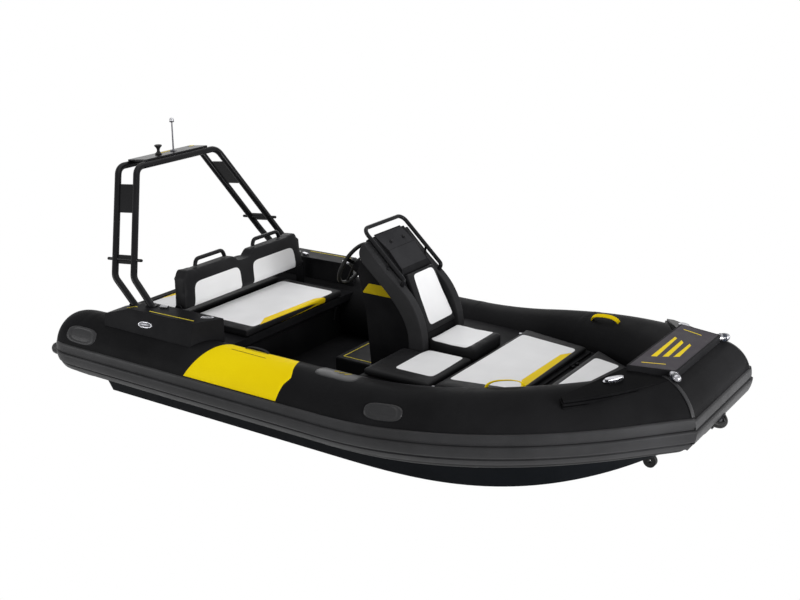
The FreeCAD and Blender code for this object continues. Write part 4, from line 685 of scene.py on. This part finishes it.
# Patches and loops on the collar: rubber and webbing glued on by hand after it was blown up. Oval pads cover
# the lashing points, a grey tread lies on the starboard crown where people step over, and webbing loops carry.
PAD_PROFILE = [(0, 0.0045), (0.62, 0.0045), (0.7, 0.004), (0.76, 0.0075), (0.86, 0.0085), (0.94, 0.0075),
               (0.985, 0.004), (1.0, -0.004), (0, -0.004)]
TREAD_PROFILE = [(0, 0.0035), (0.5, 0.0035), (0.9, 0.0035), (0.965, 0.0028), (1.0, -0.0005), (0, -0.0005)]
PATCH_PROFILE = [(0, 0.0029), (0.9, 0.0029), (0.97, 0.0028), (1.0, 0.001), (0, 0.001)]


def on_collar(x, angle, height):
    """Points on the port chamber: how far along the boat, how far round it and how high above its skin."""
    places, ways, _ = collar_line(CHAMBER_STEPS)
    x, angle, height = np.broadcast_arrays(x, angle, height)
    centre, way = (points(*(np.interp(x, places[:, 0], line[:, k]) for k in range(3))) for line in (places, ways))
    centre[..., 0] = x
    return round_line(centre, unit(way), COLLAR_RADIUS + height, angle)


def superellipse(around, power):
    """An outline's places across and up: the cosine and sine to the power of 2 / power, with their signs."""
    turn = np.linspace(0, 2 * math.pi, around + 1)[:-1]
    return (np.sign(wave) * np.abs(wave) ** (2 / power) for wave in (np.cos(turn), np.sin(turn)))


def patch(fore_aft, turns, profile, power=3.0):
    """A pad on the collar: a superellipse of this power filled by rings. profile gives each ring's share of
    the outline, from its middle out, and its height above the skin."""
    wide, tall = superellipse(72, power)
    share, height = (np.array(column)[:, None] for column in zip(*profile))
    x = sum(fore_aft) / 2 + (fore_aft[1] - fore_aft[0]) / 2 * wide * share
    angle = np.radians(sum(turns) / 2 + (turns[1] - turns[0]) / 2 * tall * share)
    return on_collar(x, angle, height)


def strap(path, across, half_width, half_thick, power=5.0):
    """A band or rod swept along a path: across is the direction of its width at each point. Its section is a
    superellipse, and its ends are closed by a last ring drawn in to the middle."""
    path = np.array(path, float)
    across = np.broadcast_to(np.array(across, float), path.shape)
    way = unit(np.gradient(path, axis=0))
    across = unit(across - way * (across * way).sum(axis=1)[:, None])
    thick = np.cross(way, across)
    wide, tall = superellipse(20, power)
    share = np.concatenate([[0, 0.86], np.ones(len(path)), [0.86, 0]])
    repeat = [0, 0, *range(len(path)), -1, -1]
    path, across, thick = path[repeat], across[repeat], thick[repeat]
    ring = across[:, None] * (half_width * wide)[None, :, None] + thick[:, None] * (half_thick * tall)[None, :, None]
    return path[:, None] + ring * share[:, None, None]


def run(middle, way, low, high, steps):
    """Points along a straight line through a place, from low to high times its direction."""
    return np.array(middle) + np.array(way) * np.linspace(low, high, steps)[:, None]


def turned(origin, axis, profile, around=32):
    """A turned part: profile gives distances along the axis and radii; it is closed where a radius is 0."""
    axis = unit(axis)
    side = unit(np.cross(axis, UP if abs(axis[2]) < 0.9 else AHEAD))
    wide, tall = superellipse(around, 2)
    ring = side * wide[:, None] + np.cross(axis, side) * tall[:, None]
    along, radius = (np.array(column, float) for column in zip(*profile))
    return np.array(origin, float) + axis * along[:, None, None] + ring * radius[:, None, None]


def crown_arch(fore_aft, degrees, rise, sink=0.002):
    """An arch over the crown: it leaves the skin at one place and lands at another, in a rounded hump."""
    share = np.linspace(-1, 1, 40)
    x = sum(fore_aft) / 2 + (fore_aft[1] - fore_aft[0]) / 2 * share
    height = rise * np.clip(1 - np.abs(share) ** 2.6, 0, 1) ** 0.5 - sink
    return on_collar(x, np.radians(degrees), height)


pad_finish = rubber("grey_patch_rubber", (0.022, 0.022, 0.023), (0.034, 0.034, 0.036), (0.3, 0.44))
both_sides("lashing_pad_fore", patch((0.433, 0.715), (22, 48), PAD_PROFILE), pad_finish)
both_sides("lashing_pad_aft", patch((-2.13, -1.85), (19, 50), PAD_PROFILE), pad_finish)
add("tread_starboard", starboard_of(patch((-0.07, 0.26), (76, 128), TREAD_PROFILE, power=5.0)), pad_finish)
for name, ends, degrees in (("fore", (0.462, 0.69), 33), ("aft", (-2.1, -1.885), 32)):
    slot_path = on_collar(np.linspace(*ends, 16), np.radians(degrees), 0.0048)
    both_sides(f"lashing_slot_{name}", strap(slot_path, (0, -0.55, 0.8), 0.0045, 0.001), strake_finish)
webbing = coated("black_webbing", (0.016, 0.016, 0.017), (0.034, 0.034, 0.036), (0.45, 0.6), 900.0, 0.00008)
bright_webbing = coated("yellow_webbing", (0.8, 0.57, 0.004), (0.88, 0.66, 0.006), (0.5, 0.7), 900.0, 0.00008)
both_sides("carry_loop", strap(crown_arch((-0.692, -0.499), 102.5, 0.024), ACROSS, 0.011, 0.0018), webbing)
both_sides("loop_patch", patch((-0.765, -0.445), (86, 100), PATCH_PROFILE, power=9.0), yellow_finish)
seam_path = on_collar(np.linspace(-0.752, -0.459, 24), np.radians(np.linspace(85, 83.5, 24)), 0.0026)
both_sides("panel_seam", strap(seam_path, (0, 1, 0.1), 0.0016, 0.0008, power=3.0), webbing)
both_sides("grab_strap", strap(crown_arch((1.12, 1.35), 113, 0.044, sink=0.004), (0, 0.9, 0.42), 0.016, 0.0032),
           bright_webbing, ("grab_handles",))

# Joints of the collar: a tape is glued over each mitre seam, and a moulded rubber plug closes each strake at
# the stern tip, where it would rub on a quay.
PLUG = [(0, 0), (0, 0.042), (0.075, 0.044), (0.095, 0.038), (0.108, 0.026), (0.114, 0.012), (0.115, 0)]
mitre_ring = along_collar(np.radians(np.linspace(14, 205, 60)), COLLAR_RADIUS + 0.0012, 60)[-1]
both_sides("mitre_tape", strap(mitre_ring, collar_line(4)[1][-1] - ACROSS, 0.011, 0.0036, power=3.0), pad_finish)
both_sides("strake_plug", turned((COLLAR_AFT - CAP_LENGTH + 0.045, COLLAR_TRACK + 0.118, COLLAR_LEVEL - 0.048),
                                 (-1, 0.12, -0.06), PLUG), strake_finish)

# Metal fittings: polished stainless, with the fine lines that a buffing wheel leaves, and black parts that are
# dipped in rubber paint. They are bolted through the mouldings. A domed oval cover hides each bow cleat until
# it is pulled up; each side light has a dark lens in a steel rim.
DISH = [(0, -0.003), (1.0, -0.003), (1.0, 0.0015), (0.95, 0.003), (0.86, 0.003), (0.8, 0.0012), (0, 0.0008)]
DOME = [(0, -0.003), (1.0, -0.003), (1.0, 0.001), (0.93, 0.0035), (0.8, 0.0055), (0.55, 0.0072),
        (0.25, 0.008), (0, 0.0082)]
LENS = [(0.03, 0), (0.03, 0.025), (0.034, 0.0262), (0.05, 0.0262), (0.058, 0.0248), (0.064, 0.021),
        (0.07, 0)]
RIM = [(0.022, 0), (0.022, 0.0268), (0.026, 0.0276), (0.031, 0.0268), (0.031, 0)]
LIGHT_PLACE, LIGHT_WAY = (2.051, 0.36, 0.922), (1.0, 1.0, 0)


def polished(name, colour, rough, black_ahead=None):
    """Polished steel with buffing lines; what lies ahead of black_ahead is painted black."""
    made, tree, shader = finish_named(name)
    place = here(tree)
    lines = node(tree, "TexWave", {"Vector": place, "Scale": 160.0, "Distortion": 9.0, "Detail": 3.0,
                                   "Detail Scale": 2.0}).outputs["Fac"]
    spots = noise(tree, place, 60.0, 6.0)
    tone = mixed(tree, ranged(tree, spots, 0, 1), tuple(0.8 * v for v in colour), colour)
    shader.inputs["Metallic"].default_value = 1.0
    if black_ahead is not None:
        ahead = worked_out(tree, "GREATER_THAN", dotted(tree, place, AHEAD), black_ahead)
        tone = mixed(tree, ahead, tone, (0.012, 0.012, 0.014))
        tree.links.new(worked_out(tree, "SUBTRACT", 1.0, ahead), shader.inputs["Metallic"])
    finished(tree, shader, tone, ranged(tree, spots, *rough), lines, 0.00004, 0.2, 0.1)
    return made


def surface_of(name):
    """A search tree over a CAD node's faces."""
    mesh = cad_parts[name].data
    corners = [tuple(v.co) for v in mesh.vertices]
    return BVHTree.FromPolygons(corners, [tuple(p.vertices) for p in mesh.polygons])


def facing(tree, place):
    """The nearest point of a surface and the direction it faces there."""
    return [np.array(found) for found in tree.find_nearest(Vector(place))[:2]]


def dish(tree, place, ahead, half_long, half_wide, profile):
    """An oval fitting let into a surface: profile gives shares of its outline and heights above it."""
    point, normal = facing(tree, place)
    long_way = unit(np.array(ahead, float) - normal * (np.array(ahead) @ normal))
    wide, tall = superellipse(64, 2.2)
    ring = long_way * (half_long * wide)[:, None] + np.cross(normal, long_way) * (half_wide * tall)[:, None]
    share, height = (np.array(column)[:, None, None] for column in zip(*profile))
    return point + ring * share + normal * height


def ahead_and_down(degrees):
    """The direction ahead, turned down by an angle."""
    return AHEAD * math.cos(math.radians(degrees)) - UP * math.sin(math.radians(degrees))


grip_finish = rubber("soft_black_grip", (0.009, 0.009, 0.009), (0.018, 0.018, 0.018), (0.4, 0.55))
steel = polished("polished_steel", (0.36, 0.36, 0.38), (0.16, 0.32))
cleat_steel = polished("brushed_cleat_steel", (0.42, 0.42, 0.44), (0.42, 0.5))
dark_lens, lens_tree, lens_shader = finish_named("dark_lens")
lens_rings = noise(lens_tree, here(lens_tree), 120.0, 2.0)
lens_tree.links.new(mixed(lens_tree, ranged(lens_tree, lens_rings, 0, 1), (0.01, 0.012, 0.018),
                          (0.03, 0.036, 0.05)), lens_shader.inputs["Base Color"])
lens_tree.links.new(ranged(lens_tree, lens_rings, 0.04, 0.12), lens_shader.inputs["Roughness"])
dress(["bow_fittings"], polished("bow_steel", (0.34, 0.34, 0.36), (0.16, 0.32), black_ahead=2.17))
dress(["tow_eye"], grip_finish)
both_sides("bow_cleat_cover", dish(surface_of("bow_fittings"), (1.776, 0.5385, 0.93), (-0.8, 0.6, 0), 0.054, 0.021,
                                   DOME), cleat_steel)
both_sides("side_light_lens", turned(LIGHT_PLACE, LIGHT_WAY, LENS), dark_lens)
both_sides("side_light_rim", turned(LIGHT_PLACE, LIGHT_WAY, RIM), steel)

# The towing eye on the bow: a loop of rod dipped thick in rubber, with a web across it, on a long rubber
# backing strip that is glued round the bow chamber.
LOOP_FOOT, loop_out, strip_out = np.array([2.196, 0, 0.572]), ahead_and_down(31), ahead_and_down(41)
loop_turn = np.linspace(-0.12, math.pi + 0.12, 40)[:, None]
loop_path = LOOP_FOOT + ACROSS * 0.074 * np.cos(loop_turn) + loop_out * 0.066 * np.sin(loop_turn)
strip_path = run(MITRE * (AHEAD + UP) + strip_out * (COLLAR_RADIUS + 0.006), ACROSS, -0.145, 0.145, 20)
for name, path, across, half_width, half_thick, power, finish in (
        ("loop", loop_path, np.cross(loop_out, ACROSS), 0.019, 0.018, 2.4, grip_finish),
        ("web", run(LOOP_FOOT, loop_out, -0.01, 0.056, 12), ACROSS, 0.056, 0.007, 3.0, dark_lens),
        ("strip", strip_path, np.cross(strip_out, ACROSS), 0.026, 0.012, 3.0, grip_finish)):
    add(f"bow_eye_{name}", strap(path, across, half_width, half_thick, power), finish)

# Bow step: its sunk tread is a grey non-slip sheet with a raised diamond pattern, three yellow bars across it
# and a thin yellow line along each side.
STEP_BARS = (((1.861, -0.213), (1.893, -0.198), (1.878, 0.158), (1.856, 0.176)),
             ((1.919, -0.183), (1.95, -0.163), (1.938, 0.102), (1.911, 0.142)),
             ((1.973, -0.154), (2.003, -0.13), (1.993, 0.082), (1.973, 0.11)),
             ((1.852, -0.326), (1.852, -0.336), (1.982, -0.292), (1.982, -0.282)),
             ((1.852, 0.326), (1.852, 0.336), (1.982, 0.292), (1.982, 0.282)))


def tread_finish():
    """A grey sheet with diamonds pressed into it and yellow bars printed on it."""
    made, tree, shader = finish_named("grey_non_slip_tread")
    place = here(tree)
    slant = node(tree, "Mapping", {"Vector": place, "Rotation": (0, 0, 0.785)}).outputs[0]
    knobs = node(tree, "TexVoronoi", {"Vector": slant, "Scale": 130.0, "Randomness": 0.0})
    dust = noise(tree, place, 14.0, 5.0)
    tone = ranged(tree, dust, 0, 1)
    colour = mixed(tree, tone, (0.028, 0.024, 0.03), (0.044, 0.038, 0.046))
    bright = mixed(tree, tone, (0.8, 0.58, 0.004), (0.9, 0.68, 0.006))
    for corners in STEP_BARS:
        colour = mixed(tree, ranged(tree, inlay_depth(tree, corners, UP, 0.001), 0, 1, 0, 0.001), colour, bright)
    finished(tree, shader, colour, ranged(tree, dust, 0.5, 0.7), knobs.outputs["Distance"], 0.002, 0.5, 0.15)
    return made


dress(["bow_step_pad"], tread_finish())

# Console: the dash is a matt dark panel folded across the top, with two small knobs, and its after side holds
# two round dials and a row of rocker switches. The wheel has a soft black grip moulded over its rim.
DASH_FOLD = [(0.026, 1.12), (0.024, 1.1225), (-0.02, 1.171), (-0.064, 1.22), (-0.0725, 1.2295),
             (-0.078, 1.2335), (-0.13, 1.2715), (-0.186, 1.3125), (-0.19, 1.3155)]
KNOB = [(-0.002, 0), (-0.002, 0.012), (0.006, 0.012), (0.0075, 0.0095), (0.014, 0.009), (0.0155, 0.0075),
        (0.016, 0)]
BEZEL = [(-0.004, 0), (-0.004, 0.046), (0.005, 0.046), (0.008, 0.0435), (0.008, 0.0405), (0.004, 0.038),
         (0.003, 0)]
GLASS = [(0.002, 0), (0.002, 0.0376), (0.0042, 0.0376), (0.0046, 0.03), (0.005, 0)]
BAND_LOW, BAND_HIGH, BAND_STEPS = 0.915, 0.99, 16


def folded_panel(fold, across, thick):
    """A panel that follows the fold's places in the keel plane, from side to side, a little proud."""
    fold = np.array(fold, float)
    way = unit(np.gradient(fold, axis=0))
    out = np.stack([way[:, 1], -way[:, 0]], axis=-1)
    out *= np.sign(out[:, 1])[:, None]
    y = across[0] + (across[1] - across[0]) * np.linspace(0, 1, 24)[None]
    edge = rim_eased(len(fold), 24)
    return closed_sheet(*(points(fold[:, :1] + out[:, :1] * lift, y, fold[:, 1:] + out[:, 1:] * lift)
                          for lift in (thick * edge, -0.002 * edge)))


def console_band(out, level_y, wing_tree):
    """A band on the console's side, from its slanted after end forward to the wing, which a ray finds."""
    level = np.linspace(BAND_LOW, BAND_HIGH, BAND_STEPS)
    aft = np.interp(level, (BAND_LOW, 0.922, BAND_HIGH), (-0.262, -0.269, -0.217))
    ahead = [wing_tree.ray_cast(Vector((-0.5, level_y + out * 0.03, z)), Vector(AHEAD))[0].x - 0.004 for z in level]
    share = np.linspace(0, 1, BAND_STEPS)[None]
    x = aft[:, None] * (1 - share) + np.array(ahead)[:, None] * share
    rim = rim_eased(BAND_STEPS, BAND_STEPS)
    return closed_sheet(*(points(x, level_y + out * (thick * rim - 0.0006), level[:, None])
                          for thick in (0.0024, 0)))


matt_dash = painted("matt_dash_panel", (0.021, 0.021, 0.023), (0.032, 0.032, 0.034), (0.5, 0.7), 500.0, 0.0001)
add("dash_panel", folded_panel(DASH_FOLD, (-0.034, 0.274), 0.0022), matt_dash)
# A proud strip of darker gelcoat along the dash's fold: painted shade, standing in for the dark groove at the fold.
add("dash_fold_shade_line", strap(run((-0.0745, 0, 1.2322), ACROSS, -0.03, 0.27, 12), (0.67, 0, -0.74), 0.0028, 0.0016, 3.0),
    gelcoat)
panel_face, panel_up = unit((-0.95, 0, 0.32)), unit((0.32, 0, 0.95))
for name, y in (("starboard", 0.05), ("port", 0.2)):
    add(f"dash_knob_{name}", turned((-0.118, y, 1.2635), (0.58, 0, 0.81), KNOB), tube_paint)
for name, y in (("starboard", 0.005), ("port", 0.235)):
    add(f"dial_bezel_{name}", turned((-0.2655, y, 1.186), panel_face, BEZEL), steel)
    add(f"dial_glass_{name}", turned((-0.2655, y, 1.186), panel_face, GLASS), dark_lens)
for count in range(4):
    middle = np.array([-0.2912, 0.066 + 0.036 * count, 1.11]) + panel_face * 0.004
    add(f"rocker_switch_{count}", strap(run(middle, panel_up, -0.017, 0.017, 5), ACROSS, 0.011, 0.006, 6.0),
        matt_dash)
dress(["steering_wheel"], grip_finish)
dress(["helm_boss"], gelcoat)
# The band's yellow is much darker than the side panels' yellow. This is painted shade, standing in for the shade that
# falls on the console's side under the wing.
shaded_band_finish = painted("yellow_band_painted_shade", (0.4, 0.3, 0.008), (0.5, 0.38, 0.012), (0.4, 0.55))
for name, out, corner in zip(("starboard", "port"), (-1, 1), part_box("console_body")):
    add(f"console_band_{name}", console_band(out, corner.y, surface_of(f"console_wing_{name}")), shaded_band_finish)

# Trim on the quarter boxes, roll bar, plinth and floor: thin yellow lines let into the mouldings, a filler
# plate with its screws, an oval pop-up cleat on each side, and a strip of yellow on the roll bar's top plate.
SCREW = [(-0.001, 0), (-0.001, 0.0065), (0.002, 0.0065), (0.0035, 0.005), (0.0038, 0)]
LINE_THICK = 0.0009


def line_on(tree, start, end, half_width):
    """A thin strip laid on a surface between two places."""
    share = np.linspace(0, 1, 24)[:, None]
    found = [facing(tree, place) for place in np.array(start) * (1 - share) + np.array(end) * share]
    places, normals = (np.array(column) for column in zip(*found))
    across = np.cross(np.gradient(places, axis=0), normals)
    return strap(places + normals * LINE_THICK * 0.4, across, half_width, LINE_THICK, power=8.0)


yellow_line = painted("yellow_pin_line", (0.62, 0.5, 0.05), (0.74, 0.6, 0.07), (0.35, 0.5))
dull_steel = polished("dull_cleat_steel", (0.13, 0.13, 0.14), (0.25, 0.45))
box_tree = surface_of("quarter_box_port")
for name, start, end in (("box_line", (-1.461, 0.895, 0.8), (-1.063, 0.89, 0.8)),
                         ("box_line_aft", (-1.7, 0.872, 0.76), (-1.6, 0.872, 0.78))):
    both_sides(name, line_on(box_tree, start, end, 0.0042), yellow_line)
both_sides("filler_plate", dish(box_tree, (-1.036, 0.786, 0.8), (0.85, -0.5, 0), 0.045, 0.017, DISH), steel)
for number, (x, y) in enumerate(((-1.063, 0.802), (-1.009, 0.77))):
    both_sides(f"filler_screw_{number}", turned((x, y, 0.7975), UP, SCREW), steel)
for name, half_long, half_wide, profile, finish in (("dish", 0.066, 0.021, DISH, steel),
                                                    ("cover", 0.054, 0.015, DOME, dull_steel)):
    both_sides(f"side_cleat_{name}", dish(box_tree, (-1.46, 0.96, 0.708), (1, 0, 0.1), half_long, half_wide, profile),
               finish)
both_sides("box_hinge", strap(run((-1.425, 0.789, 0.7985), (0.9, -0.3, 0), -0.03, 0.03, 5), (0.3, 0.9, 0), 0.014,
                              0.007), steel)
for block, name, half_width, finish, lines in (
        ("console_plinth", "plinth_line", 0.004, yellow_line,
         (((-0.461, -0.034, 0.41), (-0.461, 0.274, 0.41)), ((-0.461, -0.034, 0.41), (-0.215, -0.034, 0.41)))),
        ("arch_top_plate", "roll_bar_line", 0.01, yellow_finish,
         (((-2.125, -0.075, 1.7), (-2.125, 0.085, 1.7)), ((-2.125, 0.275, 1.7), (-2.125, 0.318, 1.7))))):
    for number, (start, end) in enumerate(lines):
        add(f"{name}_{number}", line_on(surface_of(block), start, end, half_width), finish)
dull_dash = painted("dull_yellow_dash", (0.26, 0.21, 0.03), (0.36, 0.29, 0.05), (0.4, 0.55))
for number, (x, low, high) in enumerate(((0.04, 99, 104), (0.085, 97, 105), (0.132, 95, 106))):
    share = np.linspace(0, 1, 12)
    path = starboard_of(on_collar(x + 0.022 * share, np.radians(low + (high - low) * share), 0.004))
    add(f"tread_dash_{number}", strap(path, AHEAD, 0.0095, 0.001, power=8.0), dull_dash)

# Backrest handles: a bent tube dipped in black rubber stands on each half of the backrest, its feet spread a
# little, and folds down with it.
HANDLE_RADIUS, HANDLE_BEND, HANDLE_SPREAD = 0.0145, 0.03, 0.016
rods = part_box("backrest_handles")
foot_level, top_level, handle_foot = rods[0].z, rods[1].z - 0.011, rods[1].x - 0.011


def eased_path(corners, radius):
    """A path through these corners with each inner corner rounded off."""
    corners = np.array(corners, float)
    share = np.linspace(0, 1, 9)[:, None]
    parts = [corners[:1]]
    for before, corner, after in zip(corners[:-2], corners[1:-1], corners[2:]):
        back, on = (radius * unit(end - corner) for end in (before, after))
        parts.append(corner + back * (1 - share) ** 2 + on * share ** 2)
    return np.vstack(parts + [corners[-1:]])


def handle_rod(side):
    """A tube through the handle's corners, which lie in the backrest's leaning plane."""
    inner, outer = side * 0.172, side * 0.448
    top = handle_foot - (top_level - foot_level) * math.tan(BACK_LEAN)
    corners = [(handle_foot, inner - side * HANDLE_SPREAD, foot_level - 0.004), (top, inner, top_level),
               (top, outer, top_level), (handle_foot, outer + side * HANDLE_SPREAD, foot_level - 0.004)]
    return strap(eased_path(corners, HANDLE_BEND), (1, 0, 0.1), HANDLE_RADIUS, HANDLE_RADIUS, power=2.0)


for name, side in (("starboard", -1), ("port", 1)):
    add(f"back_handle_{name}", handle_rod(side), tube_paint, "backrest", ("backrest_handles",))

# Roll bar's top: a spool-shaped horn in black plastic, and an all-round light on a thin steel mast. Both stand
# on flanges screwed to the plate.
mast_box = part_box("light_mast")
TOP = mast_box[1].z - mast_box[0].z
HORN = [(0, 0), (0, 0.026), (0.008, 0.026), (0.011, 0.022), (0.02, 0.013), (0.03, 0.0105), (0.042, 0.012),
        (0.054, 0.019), (0.062, 0.027), (0.068, 0.0285), (0.071, 0.026), (0.066, 0.014), (0.064, 0)]
MAST = [(0, 0), (0, 0.024), (0.006, 0.024), (0.009, 0.01), (0.016, 0.0062), (TOP - 0.034, 0.0052),
        (TOP - 0.032, 0.014), (TOP - 0.028, 0.0185), (TOP - 0.024, 0.0185), (TOP - 0.022, 0.015), (TOP - 0.021, 0)]
HEAD = [(TOP - 0.022, 0), (TOP - 0.022, 0.0165), (TOP - 0.009, 0.0165), (TOP - 0.003, 0.013), (TOP, 0.007),
        (TOP + 0.001, 0)]
mast_steel = polished("dull_mast_steel", (0.1, 0.1, 0.11), (0.3, 0.5))
for name, box, profile, finish, slot, stands_for in (
        ("horn_spool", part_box("horn"), HORN, grip_finish, "black_plastic", ("horn",)),
        ("mast_rod", mast_box, MAST, mast_steel, "stainless", ("light_mast",)),
        ("mast_light_head", mast_box, HEAD, cleat_steel, "stainless", ())):
    foot = ((box[0].x + box[1].x) / 2, (box[0].y + box[1].y) / 2, box[0].z)
    add(name, turned(foot, UP, profile), finish, stands_for=stands_for)

# Small hatch latches beside the foredeck cushions: turned knobs on round washers, screwed down.
LATCH = [(-0.004, 0), (-0.004, 0.017), (0.002, 0.017), (0.004, 0.013), (0.005, 0.008), (0.013, 0.0075),
         (0.016, 0.0115), (0.02, 0.0115), (0.022, 0.009), (0.022, 0)]
deck_tree = surface_of("foredeck")
for number, y in ((0, 0.575), (2, -0.575)):
    on_deck = facing(deck_tree, (0.61, y, 0.6))[0]
    add(f"deck_latch_{number}", turned(on_deck, UP, LATCH, around=24), cleat_steel)

# Bench and stern: a pull latch on each side of the bench's front, and on the transom a bent towing eye and a
# self-bailing drain flange on each side of the engine's place, bolted through.
DRAIN = [(-0.002, 0), (-0.002, 0.03), (0.003, 0.03), (0.006, 0.026), (0.006, 0.017), (0.002, 0.015), (0.002, 0)]
bench_tree = surface_of("bench_base")
latch_points, latch_ways = zip(*(facing(bench_tree, (-0.95, 0.545, z)) for z in (0.49, 0.475, 0.445, 0.415, 0.4)))
latch_path = np.array(latch_points) + np.array(latch_ways) * 0.004
keeper_path = latch_path[:2] + np.array([0.005, 0, 0.012])
both_sides("bench_latch", strap(latch_path, ACROSS, 0.011, 0.006, power=4.0), matt_dash)
both_sides("bench_latch_keeper", strap(keeper_path, ACROSS, 0.015, 0.004), dull_steel)
transom_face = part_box("transom_board")[0].x
eye_path = eased_path([(transom_face + ahead, 0.42, z) for ahead, z in
                       ((0.004, 0.09), (-0.042, 0.1), (-0.042, 0.18), (0.004, 0.19))], 0.03)
plate_path = [(transom_face - 0.0015, 0.42, z) for z in np.linspace(0.065, 0.215, 12)]
both_sides("stern_eye", strap(eye_path, ACROSS, 0.005, 0.005, power=2.0), steel)
both_sides("stern_eye_plate", strap(plate_path, ACROSS, 0.018, 0.0025), steel)
both_sides("drain_flange", turned((transom_face, 0.33, 0.19), -AHEAD, DRAIN), steel)
